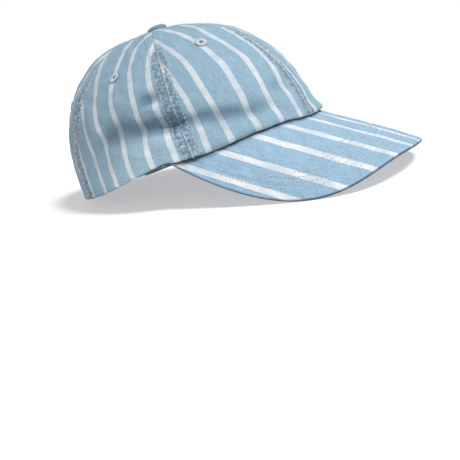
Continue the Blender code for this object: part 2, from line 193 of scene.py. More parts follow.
# How the stripes' courses are smoothed on their way up: the steps to the whole way, how far they are
# drawn past both ends, how widely they are smoothed, over how many steps, and how many are dropped
GRAIN_STEPS = 200
GRAIN_MARGIN = 0.2
GRAIN_SPREAD = 0.05
GRAIN_REACH = 24
GRAIN_TRIM = 30
PANELS = (
    Panel("front_panel_right", 0.0, FRONT_SEAM_TURN, math.radians(36), FRONT_RIGHT_GRAIN),
    Panel("side_panel_right", FRONT_SEAM_TURN, BACK_SEAM_TURN, math.radians(92.5), SIDE_RIGHT_GRAIN),
    Panel("back_panel_right", BACK_SEAM_TURN, math.pi, math.radians(152), EVEN_GRAIN),
    Panel("front_panel_left", -FRONT_SEAM_TURN, 0.0, math.radians(-36), EVEN_GRAIN),
    Panel("side_panel_left", -BACK_SEAM_TURN, -FRONT_SEAM_TURN, math.radians(-92.5), EVEN_GRAIN),
    Panel("back_panel_left", -math.pi, -BACK_SEAM_TURN, math.radians(-152), EVEN_GRAIN),
)

# Where the stripes lie across the peak, in millimetres of cloth from its middle
PEAK_STRIPES = (-117.0, -97.0, -77.0, -57.0, -37.0, -17.0, 5.5, 33.0, 55.2, 77.6, 96.9, 117.0)
FIRST_PEAK_STRIPE = -6

# The grids of the sheets
PANEL_COLUMNS = 84
PANEL_ROWS = 176
RIM_ROWS = (0.0, 0.0007, 0.0017, 0.0030, 0.0047, 0.0067, 0.0095, 0.0135)
AFTER_RIM_ROWS = 0.018
PEAK_COLUMNS = 260
PEAK_ROWS = 110
STRAP_COLUMNS = 150
STRAP_ROWS = 22
LENGTH_SAMPLES = 400
BEND_SAMPLES = 200
OUTLINE_SAMPLES = 160
ARCH_SIDES = 96
EYELET_HOLE_SIDES = 40
EYELET_HOLE_DEPTH = 8 * CLOTH
# How finely the round pieces are made: round their axis, and round their section or from pole to pole
STITCH_SEGMENTS = (8, 6)
EYELET_RING_SEGMENTS = (64, 16)
EYELET_LOOP_SEGMENTS = (10, 8)
SLEEVE_SEGMENTS = (48, 12)
BUTTON_SEGMENTS = (72, 36)
STEP = 0.002
EDGE_THINNEST = 0.2

# Sewing: the groove and the lap of a seam, the band under its rows of stitches, and the puckers in it
SEAM_GAP = 0.00002
SEAM_GROOVE = 0.00016
SEAM_GROOVE_WIDTH = 0.0006
SEAM_LAP = 0.0006
SEAM_LAP_WIDTH = 0.0008
SEAM_FILLING = 0.0004
SEAM_BAND_RISE = 0.0004
SEAM_BAND_EDGE = 0.0016
SEAM_PHASE = 1.7
SIDE_PHASE = 0.8
STITCH_OFFSET = 0.0056
STITCH_TUCK = 0.0005
STITCH_TUCK_WIDTH = 0.0009
STITCH_TUCK_LENGTH = 3.3
STITCH_TUCK_SWING = 0.3
PUCKER = 0.0007
PUCKER_PLACE = 0.55
PUCKER_SPREAD = 0.6
# Round the button the sewing lies flat out to here, and is whole this much farther out
TOP_FLAT = 0.009
TOP_FLAT_EDGE = 0.012
HEM_WIDTH = 0.006
HEM_ROLL = 0.0006
HEM_FULLNESS = 0.7
HEM_CURL = 0.0011
HEM_CURL_WIDTH = 0.0017

# Ripples along a seam: how many millimetres long, how strong, and where they start
RIPPLES = ((3.3, 0.40, 0.0), (4.7, 0.30, 1.3), (2.6, 0.18, 2.9), (8.9, 0.32, 4.1))
# Soft waves over the cloth: how many to a metre across and along, and where they start
SOFT_WAVES = ((31, 12, 0.0), (-22, 27, 1.1), (14, 45, 2.3), (47, -9, 3.9), (-37, -33, 5.0), (74, -38, 0.7),
              (-52, 81, 2.2))
SOFT_WAVE_SHARE = 0.3
SOFT_WAVE = 0.00042
SOFT_WAVE_ROUND = 0.08
SOFT_WAVE_CLEAR = 0.008

# Where painted shade makes the base colour of the crown darker: in the crease over the peak and in hollows
CREASE_WIDTH = 0.0012
CREASE_BEHIND = 0.4
CREASE_BLEND = 0.1
PAINTED_SHADE_LIFT = 0.004
PAINTED_SHADE_DEPTH = 0.0045
# Where painted light makes it paler: low on both sides
PAINTED_LIGHT_TURN = math.radians(84)
PAINTED_LIGHT_SPREAD = math.radians(24)
PAINTED_LIGHT_HEIGHT = 0.040
# Where a seam's mottled band fades out on its way up, how much of its relief is left, and its pale ridge
BAND_TOP = 0.070
BAND_FADE_LENGTH = 0.040
BAND_FADE = 0.009
BAND_LEFT = 0.15
RIDGE_PLACE = 0.0006
RIDGE_WIDTH = 0.0005

# The relief of the peak's cloth: its rows of stitches, the crimps between them, waves and its edge
ROW_TUCK = 0.00022
ROW_TUCK_WIDTH = 0.0007
ROW_MARGIN = 0.2
ROW_CRIMP = 0.00010
ROW_CRIMP_SLANT = 0.35
ROW_CRIMP_PHASE = 2.1
FINE_CRIMP = 0.00007
FINE_CRIMP_FORWARD = 1.1
FINE_CRIMP_ACROSS = 0.5
FINE_CRIMP_PHASE = 300
FINE_CRIMP_OUTSIDE = 0.4
PEAK_WAVE = 0.00025
PEAK_WAVE_START = 2.0
EDGE_ROLL = 0.0002
EDGE_ROLL_PLACE = 0.0022
EDGE_ROLL_WIDTH = 0.0007
EDGE_PLAIN = 0.002
UNDER_RELIEF = 0.5
PEAK_BEND_REACH = 0.1
# The dark lines of painted shade where the peak meets the crown and round its edge, above and below
PEAK_CREASE_WIDTH = 0.0016
EDGE_LINE_WIDTH = 0.0008
EDGE_BAND_WIDTH = 0.0022
EDGE_BAND_START = 0.5
# How far the peak's edge droops beside its tip, and where
DROOP = 0.0016
DROOP_ACROSS = -0.034
DROOP_SPREAD = 0.028
DROOP_INSIDE = 0.025

# The tape that binds the arch
BINDING_WIDTH = 0.0075
BINDING_THICKNESS = 0.0005
BINDING_WRAP = 0.0005
BINDING_START = 0.03
BINDING_STITCH = 0.0056
BINDING_CRIMP = 0.00015
BINDING_CRIMP_WIDTH = 0.002
BINDING_CRIMP_PHASE = 0.7
BINDING_ROW_LIFT = 0.0001
BINDING_ROWS = 22
BINDING_COLUMNS = 200
SOLVE_ROUNDS = 8
SOLVE_LOWEST = 0.002
SOLVE_HIGHEST = 0.9

# The tapes over the seams inside the crown
TAPE_WIDTH = 0.014
TAPE_THICKNESS = 0.0006
TAPE_CLEARANCE = 0.0006
TAPE_START = 0.07
TAPE_START_OVER_ARCH = 0.44
TAPE_END = 0.88
TAPE_ROWS = 150
TAPE_COLUMNS = 15

# The relief of the strap
STRAP_TUCK = 0.00025
STRAP_TUCK_WIDTH = 0.0006
STRAP_CRIMP = 0.00012
STRAP_CRIMP_PHASE = 4
STRAP_EDGE = 0.001

# A stitch: how full it is, how it dips at both ends, and where along it its direction is taken
STITCH_FULLNESS = 0.6
STITCH_DIP = 0.45
STITCH_DIP_POWER = 3
STITCH_REACH = 0.35
# Rows of stitches: where each starts and ends, how far it stands off its cloth, and its samples
SEAM_ROW_START = 0.012
SEAM_ROW_START_OVER_ARCH = 0.46
SEAM_ROW_END = 0.74
SEAM_ROW_SPREAD = math.radians(26)
SEAM_ROW_LIFT = 0.00012
SEAM_ROW_SAMPLES = 500
PEAK_ROW_OUTSIDE = 1.008
PEAK_ROW_INSIDE = 0.8
PEAK_ROW_LIFT = 0.00010
PEAK_ROW_SAMPLES = 300
STRAP_ROW_PLACE = 0.0024
STRAP_ROW_END = 0.02
STRAP_ROW_LIFT = 0.00005
STRAP_ROW_SAMPLES = 300

# A worked eyelet: its loops of thread, its ring and the sleeve through it
EYELET_LOOPS = 34
EYELET_LOOP_WIDTH = 0.00064
EYELET_LOOP_REACH = 2.06
EYELET_LOOP_RISE = 1.15
EYELET_RING_LIFT = 0.45
SLEEVE_STRETCH = 3.2

# The button: how full it is above and below, its gathers, and where it sits
BUTTON_FULLNESS_ABOVE = 0.62
BUTTON_FULLNESS_BELOW = 0.8
BUTTON_GATHER = 0.012
BUTTON_GATHERS = 26
BUTTON_GATHER_DROP = 0.2
BUTTON_GATHER_SPREAD = 0.35
BUTTON_AXIS = 0.001
BUTTON_HALF_HEIGHT = 0.0030
BUTTON_ASIDE = 0.0012
BUTTON_AHEAD = 0.0025
BUTTON_SINK = 0.0012

# Where a Mix node takes its amount and its two colours
MIX_SOCKETS = (0, 6, 7)

# Noise in the finishes: how fine, how detailed and how rough it is
Noise = namedtuple("Noise", "scale detail roughness")
STRIPE_NOISE = Noise(900.0, 2.0, 0.5)
FUZZ = Noise(1400.0, 3.0, 0.65)
WARP = Noise(1500.0, 2.0, 0.6)
WEFT = Noise(1300.0, 2.0, 0.6)
SPECK = Noise(1050.0, 2.0, 0.7)
CLOUD = Noise(70.0, 3.0, 0.55)
FLECK = Noise(380.0, 3.0, 0.7)
PAPER = Noise(300.0, 2.0, 0.5)
FIBRE_DETAIL = 3.0
FIBRE_ROUGHNESS = 0.6

# The weave: the slant of its ribs, how its yarns are drawn out, and the share of each in the whole
TWILL_SLANT = 0.6
WARP_STRETCH = (1.0, 0.09, 1.0)
WEFT_STRETCH = (0.12, 1.0, 1.0)
RIB_SHARE = 0.45
FUZZ_SHARE = 0.8
WARP_SHARE = 0.40
WEFT_SHARE = 0.25
SPECK_SHARE = 0.35
STRIPE_SOFTNESS = 0.0003
STRIPE_RAGGEDNESS = 0.0008

# Tones of the cloth, as shares of its blue, as tints and as amounts
DARK_YARN = 0.80
LIGHT_YARN = 1.17
DARK_FLECK = 0.40
# Painted shade for the hollows, as a tint
PAINTED_SHADE_TINT = (0.36, 0.41, 0.47, 1.0)
# Painted light for the cloth low on the sides, as a tint
PAINTED_LIGHT_TINT = (1.60, 1.54, 1.48, 1.0)
RIDGE_AMOUNT = 0.60
# How strong the painted shade is in the crease and round the peak's edge
CREASE_SHADE_AMOUNT = 0.85
# How tones go over into each other: from which value to which, and the amounts at both
BODY_EASE = (0.36, 0.64)
STRIPE_EASE = (0.38, 0.60)
CLOUD_EASE = (0.35, 0.65, 0.30, 0.0)
BAND_EASE = (0.0072, 0.0050)
DARK_FLECK_EASE = (0.42, 0.58, 0.10, 0.74)
PALE_FLECK_EASE = (0.42, 0.33, 0.0, 0.40)
# How the painted shade in the hollows eases in
PAINTED_SHADE_EASE = (0.02, 0.92, 0.0, 0.84)
TWILL_ROUGHNESS = (0.3, 0.7, 0.92, 0.78)
TWILL_BUMP = {"Strength": 0.7, "Distance": 0.00022}
TWILL_SHINE = {"Specular IOR Level": 0.15, "Sheen Weight": 0.04, "Sheen Roughness": 0.6}
FIBRE_EASE = (0.35, 0.65)
FIBRE_ROUGHNESS_EASE = (0.3, 0.7)
FIBRE_SMOOTHER = 0.12
FIBRE_BUMP = 0.6
FIBRE_SHINE = 0.3

# Striped finishes: the settings with their blue, their pale and their darker stripe yarns, and whether
# they are mottled beside the seams
TWILL_FINISHES = {
    "cap_striped_twill": ("twill_blue", "stripe_white", "stripe_shade", True),
    # The peak's finish is the crown's twill drawn paler, as painted light on the peak's top
    "cap_peak_twill": ("peak_blue", "peak_white", "peak_shade", False),
}
# Plain finishes: the setting with their colour, and their roughness, how fine their fibres are, how
# much darker the dark ones are and how far they stand out
PLAIN_FINISHES = {
    "cap_button_twill": ("button_blue", 0.85, 1100.0, 0.25, 0.0002),
    "cap_eyelet_thread": ("eyelet_thread", 0.6, 2600.0, 0.18, 0.0001),
    "cap_stitch_thread": ("stitch_thread", 0.65, 2600.0, 0.15, 0.0001),
}

# The stage: its floor, where its lamps shine from, how soft they are, and the pale backdrop
WHITE = (1.0, 1.0, 1.0, 1.0)
FLOOR_RADIUS = 30.0
FLOOR_SIDES = 96
FLOOR_TONES = ((0.46, 0.46, 0.46, 1.0), (0.48, 0.48, 0.48, 1.0))
FLOOR_SHINE = {"Emission Color": WHITE, "Roughness": 0.9, "Specular IOR Level": 0.1}
KEY_FROM = (0.029, -0.437, 0.868)
KEY_SOFTNESS = math.radians(18)
SIDE_FROM = (-0.82, -0.30, 0.30)
SIDE_SOFTNESS = math.radians(70)
BACKDROP_HEIGHTS = (0.26, 0.54)

# The camera, as the photograph was taken
EYE = Vector((-0.48353, -0.26672, 0.09923))
LOOK = Vector((0.83661, 0.49184, -0.24119))
LEAN_RIGHT = Vector((0.46399, -0.87029, -0.16528))
LENS = 56.86
SENSOR = 36.0
CLIP_START = 0.01
CLIP_END = 100.0


def wrap(angle):
    """The same direction, as an angle from minus half a turn to half a turn."""
    return (np.asarray(angle) + math.pi) % (2 * math.pi) - math.pi


def smooth_fall(share):
    """1 at share 0 and below, 0 at share 1 and above, with no corner between."""
    left = 1 - np.clip(share, 0, 1)
    return left * left * (3 - 2 * left)


def bell(distance, width):
    """1 in the middle, falling to nothing a few widths away."""
    return np.exp(-(distance / width) ** 2)


def rim_point(turn):
    """The rim seen from above: how far across and how far forward it is at a turn."""
    return RIM_WIDTH / 2 * np.sin(turn), RIM_LENGTH / 2 * np.cos(turn)


def peak_slopes(across):
    """How steeply the peak's top falls across and forward."""
    half_width = RIM_WIDTH / 2
    share = np.abs(across) / half_width
    fall_across = PEAK_ARCH * PEAK_ARCH_POWER / half_width * share ** (PEAK_ARCH_POWER - 1)
    return np.sign(across) * fall_across, math.tan(PEAK_SLOPE) + 0 * share


def peak_height(across, forward):
    """The peak's top over the rim's plane: a slope forward, bent down to both sides."""
    fall_forward = (forward - RIM_LENGTH / 2) * math.tan(PEAK_SLOPE)
    fall_across = PEAK_ARCH * (np.abs(across) / (RIM_WIDTH / 2)) ** PEAK_ARCH_POWER
    return -fall_forward - fall_across


def seat_height(across, forward):
    """The height at which the crown's edge sits on the peak, a small gap over it."""
    fall_across, fall_forward = peak_slopes(across)
    return peak_height(across, forward) + GAP * np.sqrt(1 + fall_across ** 2 + fall_forward ** 2)


def past_corner(turn):
    """How far a turn lies behind the peak's corner, 0 where the crown sits on the peak."""
    return np.maximum(np.abs(wrap(turn)) - CORNER_TURN, 0)


def rim_height(turn):
    """The rim's height: on the peak in front, easing to the level rim behind its corners."""
    seated = np.minimum(np.abs(wrap(turn)), CORNER_TURN)
    level = seat_height(*rim_point(seated)) * smooth_fall(past_corner(turn) / RIM_BLEND)
    return level + BACK_RIM_RISE * np.clip(-np.cos(turn), 0, 1)


def fullness(turn):
    """How square the crown's outline is from rim to button: 2 is an ellipse."""
    front = np.clip(np.cos(turn), 0, 1) ** 2
    back = np.clip(-np.cos(turn), 0, 1) ** 2
    return FRONT_FULLNESS * front + SIDE_FULLNESS * np.sin(turn) ** 2 + BACK_FULLNESS * back


def crown_rise(turn, climb):
    """The share of the crown's height that a climb of 0 to a quarter turn reaches."""
    return np.clip(np.sin(climb), 0, 1) ** (2 / fullness(turn))


def crown_base(turn, climb):
    """The crown's outer face without its seams and folds."""
    turn, climb = np.broadcast_arrays(turn, climb)
    reach = np.clip(np.cos(climb), 0, 1) ** (2 / fullness(turn))
    rise = crown_rise(turn, climb)
    across, forward = rim_point(turn)
    belly = BELLY * np.sin(math.pi * np.clip(rise / BELLY_TOP_SHARE, 0, 1)) * np.sin(turn) ** 2
    widening = 1 + belly / (RIM_WIDTH / 2)
    span = reach * np.hypot(across, forward)
    hollow = BUTTON_HOLLOW * np.exp(-(2 * span / BUTTON_HOLLOW_WIDTH) ** 2)
    x = -across * reach * widening
    y = -forward * reach - BUTTON_FORWARD * rise
    z = rim_height(turn) * (1 - rise) ** 2 + CROWN_HEIGHT * rise - hollow
    return np.stack([x, y, z], axis=-1)


def folded(turn, rise, folds):
    """How far a list of folds lifts the cloth."""
    lift = 0 * turn
    for fold in folds:
        turned = np.degrees(wrap(turn - math.radians(fold.turn))) / fold.turn_spread
        risen = (rise - fold.rise) / fold.rise_spread
        lift = lift + fold.depth * CROWN_HEIGHT * np.exp(-turned ** 2 - risen ** 2)
    return lift


def crown_relief(turn, rise):
    """How far seams, fullness between seams and folds lift the cloth off the plain crown."""
    turn, rise = np.broadcast_arrays(turn, rise)
    nearest = np.min([np.abs(wrap(turn - seam)) for seam in SEAM_TURNS], axis=0)
    round_share = np.sqrt(np.clip(1 - rise ** 2, 0, 1))
    across, forward = rim_point(turn)
    off_seam = nearest * np.hypot(across, forward) * round_share
    pinch = -SEAM_PINCH * np.exp(-(2 * off_seam / SEAM_PINCH_WIDTH) ** 2)
    swelling = np.sin(GORE_WAVES * np.clip(nearest, 0, math.pi / (2 * GORE_WAVES)))
    relief = pinch + GORE_RISE * swelling * round_share * rise ** 0.5
    return relief + folded(turn, rise, FOLDS)


def crown_normal(turn, climb):
    """The outward direction of the plain crown."""
    along = crown_base(turn + STEP, climb) - crown_base(turn - STEP, climb)
    above = crown_base(turn, np.minimum(climb + STEP, math.pi / 2))
    normal = np.cross(above - crown_base(turn, np.maximum(climb - STEP, 0)), along)
    return normal / np.linalg.norm(normal, axis=-1, keepdims=True)


def crown_point(turn, climb, out=0.0):
    """A point of the crown's cloth, out above its outer face or below it where out is negative."""
    rise = crown_rise(turn, climb)
    base = crown_base(turn, climb)
    lift = crown_relief(turn, rise) + out
    point = base + crown_normal(turn, climb) * np.expand_dims(lift, -1)
    on_peak = smooth_fall(past_corner(turn) / SEAT_BLEND) * (1 - rise) ** SEAT_POWER
    slant = peak_height(-point[..., 0], -point[..., 1]) - peak_height(-base[..., 0], -base[..., 1])
    point[..., 2] += slant * on_peak
    return point


def climb_to_rise(turn, rise):
    """The climb that reaches a share of the crown's height."""
    return np.arcsin(np.clip(rise, 0, 1) ** (fullness(turn) / 2))


def lengths_up(turn, top_radius):
    """The climbs from the rim up to a small circle at the top, and the cloth's length up to each."""
    reach_top = top_radius / np.hypot(*rim_point(turn))
    top = np.arccos(reach_top ** (fullness(turn) / 2))
    climbs = np.linspace(0, 1, LENGTH_SAMPLES)[:, None] ** 2 * top
    steps = np.diff(crown_base(turn[None, :], climbs), axis=0)
    lengths = np.vstack([0 * turn, np.cumsum(np.linalg.norm(steps, axis=-1), axis=0)])
    return climbs, lengths


def climbs_at(turn, share):
    """The climb and the metres from the rim at shares of the way up, for each turn."""
    climbs, lengths = lengths_up(turn, TOP_HOLE_RADIUS)
    metres = np.asarray(share)[:, None] * lengths[-1]
    found = [np.interp(metres[:, i], lengths[:, i], climbs[:, i]) for i in range(len(turn))]
    return np.stack(found, axis=1), metres


def turn_per_metre(turn, climb):
    """How much turn one metre round the crown takes, at a climb."""
    width = np.linalg.norm(crown_base(turn + STEP, climb) - crown_base(turn - STEP, climb), axis=-1)
    return 2 * STEP / width


def ripple(metres, phase):
    """Uneven waves a few millimetres long, from -1 to 1, that never repeat."""
    total = 0
    for length, share, start in RIPPLES:
        turned = 2 * MILLIMETRES * math.pi * metres / length
        total = total + share * np.sin(turned + start + phase)
    return total


def soft_waves(sideways, upward, phase):
    """Shallow waves a few centimetres long over a sheet, from about -1 to 1."""
    total = 0
    for across, along, start in SOFT_WAVES:
        turned = 2 * math.pi * (sideways * across + upward * along)
        total = total + SOFT_WAVE_SHARE * np.sin(turned + start + phase)
    return total


def nearest_seam(turn, climb):
    """The nearest seam's number, how far off it is, and whether the cloth laps it on this side."""
    gaps = np.stack([wrap(turn - seam) for seam in SEAM_TURNS])
    number = np.abs(gaps).argmin(axis=0)
    offset = np.take_along_axis(gaps, number[None], axis=0)[0] / turn_per_metre(turn, climb)
    return number, offset, offset * np.where(SEAM_TURNS[number] < 0, -1, 1) < 0


def band_share(metres):
    """How strong the band beside a seam is: full low down, gone near the top."""
    return smooth_fall((metres - BAND_TOP) / BAND_FADE_LENGTH)


def sewn_relief(turn, climb, metres):
    """The relief of the sewing: grooves at seams, the bands beside them, puckers and the hem."""
    number, offset, lapped = nearest_seam(turn, climb)
    away = np.abs(offset)
    phase = number * SEAM_PHASE + np.where(offset > 0, SIDE_PHASE, 0.0)
    span = np.hypot(*np.moveaxis(crown_base(turn, climb)[..., :2], -1, 0))
    fade = 1 - smooth_fall((span - TOP_FLAT) / TOP_FLAT_EDGE)
    groove = -SEAM_GROOVE * bell(away, SEAM_GROOVE_WIDTH)
    lap = SEAM_LAP * bell(away - SEAM_LAP_WIDTH, SEAM_LAP_WIDTH) * lapped
    band = SEAM_BAND_RISE * smooth_fall((away - STITCH_OFFSET) / SEAM_BAND_EDGE)
    band = band + SEAM_FILLING * bell(away, SEAM_PINCH_WIDTH / 2)
    swing = np.sin(2 * MILLIMETRES * math.pi * metres / STITCH_TUCK_LENGTH + phase)
    tuck = -STITCH_TUCK * bell(away - STITCH_OFFSET, STITCH_TUCK_WIDTH)
    tuck = tuck * (1 - STITCH_TUCK_SWING + STITCH_TUCK_SWING * swing)
    puckered = bell(away - PUCKER_PLACE * STITCH_OFFSET, PUCKER_SPREAD * STITCH_OFFSET)
    pucker = PUCKER * ripple(metres, phase) * puckered
    wave = SOFT_WAVE * soft_waves(turn * SOFT_WAVE_ROUND, metres, 0.0) * (1 - bell(away, SOFT_WAVE_CLEAR))
    hem = HEM_ROLL * np.sin(math.pi * np.clip(metres / HEM_WIDTH, 0, 1) ** HEM_FULLNESS)
    curl = -HEM_CURL * np.clip(1 - metres / HEM_CURL_WIDTH, 0, 1) ** 2
    settled = folded(turn, crown_rise(turn, climb), SETTLING)
    worked = (lap + tuck + pucker) * (BAND_LEFT + (1 - BAND_LEFT) * band_share(metres))
    return fade * (groove + band + worked) + wave + hem + curl + settled


def cloth_point(turn, climb, metres, out=0.0):
    """A point of the sewn crown, metres up from the rim."""
    return crown_point(turn, climb, sewn_relief(turn, climb, metres) + out)


def edge_share(metres, half_thickness):
    """What share of its thickness a sheet has this far from its round edge."""
    inside = np.clip(1 - metres / half_thickness, 0, 1)
    return np.maximum(np.sqrt(1 - inside ** 2), EDGE_THINNEST)


def rounded_edge(metres, half_thickness):
    """How much thinner one side of a sheet is near its edge, so that the edge is round."""
    return half_thickness * (1 - edge_share(metres, half_thickness))


def eased(share):
    """Shares of the way that lie closer together at both ends."""
    return 0.5 * (1 - np.cos(math.pi * share))


def walked_along(path):
    """How many metres have been walked along a path at each of its points."""
    steps = np.linalg.norm(np.diff(path, axis=0), axis=-1)
    return np.concatenate([[0], np.cumsum(steps)])


def to_world(points):
    """Points of the cap's own frame, tipped to its rest and put in its place."""
    x, y, z = np.moveaxis(np.asarray(points, float), -1, 0)
    cosine, sine = math.cos(REST_TIP), math.sin(REST_TIP)
    return np.stack([x, y * cosine + z * sine, z * cosine - y * sine], axis=-1) + REST_PLACE


def quads_of(rows, columns, first=0):
    """The four-cornered faces of a grid of points."""
    index = first + np.arange(rows * columns).reshape(rows, columns)
    return np.stack([index[:-1, :-1], index[:-1, 1:], index[1:, 1:], index[1:, :-1]], -1).reshape(-1, 4)


def ring_of(rows, columns):
    """The points round the edge of a grid, in order, ending where they start."""
    index = np.arange(rows * columns).reshape(rows, columns)
    return np.concatenate([index[0], index[1:, -1], index[-1, -2::-1], index[-2::-1, 0]])


def mesh_piece(name, points, faces, finish, maps=None):
    """A new smooth object from points in world axes, with UV maps in metres and float attributes."""
    data = bpy.data.meshes.new(name)
    data.from_pydata(points.tolist(), [], faces if isinstance(faces, list) else faces.tolist())
    for label, values in (maps or {}).items():
        if values.ndim == 2:
            layer = data.uv_layers.new(name=label)
            corners = np.zeros(len(data.loops), int)
            data.loops.foreach_get("vertex_index", corners)
            layer.data.foreach_set("uv", values[corners].astype(np.float32).ravel())
        else:
            layer = data.attributes.new(label, "FLOAT", "POINT")
            layer.data.foreach_set("value", values.astype(np.float32))
    outward = bmesh.new()
    outward.from_mesh(data)
    if outward.calc_volume(signed=True) < 0:
        bmesh.ops.reverse_faces(outward, faces=outward.faces[:])
    outward.to_mesh(data)
    outward.free()
    data.materials.append(finish)
    data.shade_smooth()
    piece = bpy.data.objects.new(name, data)
    bpy.context.scene.collection.objects.link(piece)
    return piece


def closed_wall(name, outer, inner, finish, maps):
    """A closed sheet from its outer and inner grids of points, joined all round their edge."""
    rows, columns = outer.shape[:2]
    count = rows * columns
    points = np.concatenate([outer.reshape(-1, 3), inner.reshape(-1, 3)])
    faces = [quads_of(rows, columns)[:, ::-1], quads_of(rows, columns, count)]
    ring = ring_of(rows, columns)
    faces.append(np.stack([ring[:-1], ring[1:], ring[1:] + count, ring[:-1] + count], -1))
    doubled = {}
    for label, values in maps.items():
        pair = values if isinstance(values, tuple) else (values, values)
        doubled[label] = np.concatenate([layer.reshape(count, *layer.shape[2:]) for layer in pair])
    return mesh_piece(name, to_world(points), np.concatenate(faces), finish, doubled)


def deselect_all():
    """Nothing selected and no edit mode, as every operator expects."""
    if bpy.context.object and bpy.context.object.mode != "OBJECT":
        bpy.ops.object.mode_set(mode="OBJECT")
    for piece in bpy.context.selected_objects:
        piece.select_set(False)


def make_active(piece):
    """Only this piece selected, and active."""
    deselect_all()
    piece.select_set(True)
    bpy.context.view_layer.objects.active = piece


def settle(piece):
    """The piece's place goes into its mesh, so that its object sits at the origin, unturned."""
    make_active(piece)
    bpy.ops.object.transform_apply(location=True, rotation=True, scale=True)


def dress(piece, node):
    """The piece stands for a CAD node and moves with the cap."""
    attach(piece, "root")
    if node:
        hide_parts(node)


def cut(piece, cutter):
    """The cutter is taken out of the piece, and is then gone."""
    make_active(piece)
    change = piece.modifiers.new("cut", "BOOLEAN")
    change.operation = "DIFFERENCE"
    change.solver = "EXACT"
    change.object = cutter
    bpy.ops.object.modifier_apply(modifier=change.name)
    bpy.data.objects.remove(cutter, do_unlink=True)


def add_ball(segments, radius):
    """A new sphere round the origin."""
    deselect_all()
    around, along = segments
    bpy.ops.mesh.primitive_uv_sphere_add(segments=around, ring_count=along, radius=radius)


def add_ring(segments, outer_width, inner_width):
    """A new torus round the origin, from its widths over all and inside."""
    deselect_all()
    around, section = segments
    bpy.ops.mesh.primitive_torus_add(major_segments=around, minor_segments=section,
                                     major_radius=(outer_width + inner_width) / 4,
                                     minor_radius=(outer_width - inner_width) / 4)


def shaped(size, shift=(0, 0, 0), on_side=False):
    """The newest primitive, laid on its side if asked, resized and moved in edit mode."""
    piece = bpy.context.object
    bpy.ops.object.mode_set(mode="EDIT")
    bpy.ops.mesh.select_all(action="SELECT")
    if on_side:
        bpy.ops.transform.rotate(value=math.pi / 2, orient_axis="Y", center_override=(0, 0, 0))
    bpy.ops.transform.resize(value=size, center_override=(0, 0, 0))
    bpy.ops.transform.translate(value=shift)
    bpy.ops.object.mode_set(mode="OBJECT")
    return piece


def feed(tree, node, inputs):
    """Gives a node its inputs, as values or as sockets to link."""
    for socket, value in inputs.items():
        if isinstance(value, bpy.types.NodeSocket):
            tree.links.new(value, node.inputs[socket])
        else:
            node.inputs[socket].default_value = value


def add_node(tree, kind, inputs=None, **settings):
    """A node with its settings and its inputs."""
    made = tree.nodes.new(kind)
    for name, value in settings.items():
        setattr(made, name, value)
    feed(tree, made, inputs or {})
    return made


def math_of(tree, operation, first, second=0.0, third=0.0):
    """The result of a Math node."""
    return add_node(tree, "ShaderNodeMath", {0: first, 1: second, 2: third}, operation=operation).outputs[0]


def ease(tree, value, low, high, to_low=0.0, to_high=1.0):
    """A value eased from one range to another."""
    inputs = {"Value": value, "From Min": low, "From Max": high, "To Min": to_low, "To Max": to_high}
    return add_node(tree, "ShaderNodeMapRange", inputs, interpolation_type="SMOOTHSTEP").outputs[0]


def noise_of(tree, vector, noise):
    """The grey of a Noise texture."""
    inputs = {"Vector": vector, "Scale": noise.scale, "Detail": noise.detail, "Roughness": noise.roughness}
    return add_node(tree, "ShaderNodeTexNoise", inputs).outputs[0]


def blend_of(tree, amount, first, second, mode="MIX"):
    """Two colours mixed."""
    inputs = dict(zip(MIX_SOCKETS, (amount, first, second)))
    return add_node(tree, "ShaderNodeMix", inputs, data_type="RGBA", blend_type=mode).outputs[2]


def bump_of(tree, height, inputs):
    """Normals from a height."""
    return add_node(tree, "ShaderNodeBump", {"Height": height, **inputs}).outputs[0]


def attribute_of(tree, name):
    """A float attribute of the mesh."""
    return add_node(tree, "ShaderNodeAttribute", attribute_name=name).outputs["Fac"]


def tinted(colour, share):
    """A colour made darker or lighter."""
    return tuple(min(1.0, channel * share) for channel in colour[:3]) + (1.0,)


def new_group(name, inputs, outputs):
    """An empty shader node group with named sockets, and its two ends."""
    group = bpy.data.node_groups.new(name, "ShaderNodeTree")
    for label, kind in inputs:
        group.interface.new_socket(name=label, in_out="INPUT", socket_type=kind)
    for label, kind in outputs:
        group.interface.new_socket(name=label, in_out="OUTPUT", socket_type=kind)
    return group, group.nodes.new("NodeGroupInput"), group.nodes.new("NodeGroupOutput")


def stripes_group():
    """Woven stripes: a mask from a coordinate across the cloth, with slightly ragged edges."""
    inputs = [("Map", "NodeSocketVector"), ("Spacing", "NodeSocketFloat"), ("Width", "NodeSocketFloat"),
              ("Raggedness", "NodeSocketFloat")]
    group, start, end = new_group("woven_stripes", inputs, [("Mask", "NodeSocketFloat")])
    cloth, spacing = start.outputs["Map"], start.outputs["Spacing"]
    place = add_node(group, "ShaderNodeSeparateXYZ", {0: cloth})
    rough = math_of(group, "SUBTRACT", noise_of(group, cloth, STRIPE_NOISE), 0.5)
    shake = math_of(group, "MULTIPLY", rough, start.outputs["Raggedness"])
    across = math_of(group, "ADD", place.outputs[0], shake)
    turns = math_of(group, "ADD", math_of(group, "DIVIDE", across, spacing), 0.5)
    off_middle = math_of(group, "SUBTRACT", math_of(group, "FRACT", turns), 0.5)
    distance = math_of(group, "MULTIPLY", math_of(group, "ABSOLUTE", off_middle), spacing)
    half = math_of(group, "MULTIPLY", start.outputs["Width"], 0.5)
    edge = math_of(group, "ADD", half, STRIPE_SOFTNESS)
    inner = math_of(group, "SUBTRACT", half, STRIPE_SOFTNESS)
    feed(group, end, {"Mask": ease(group, distance, edge, inner)})


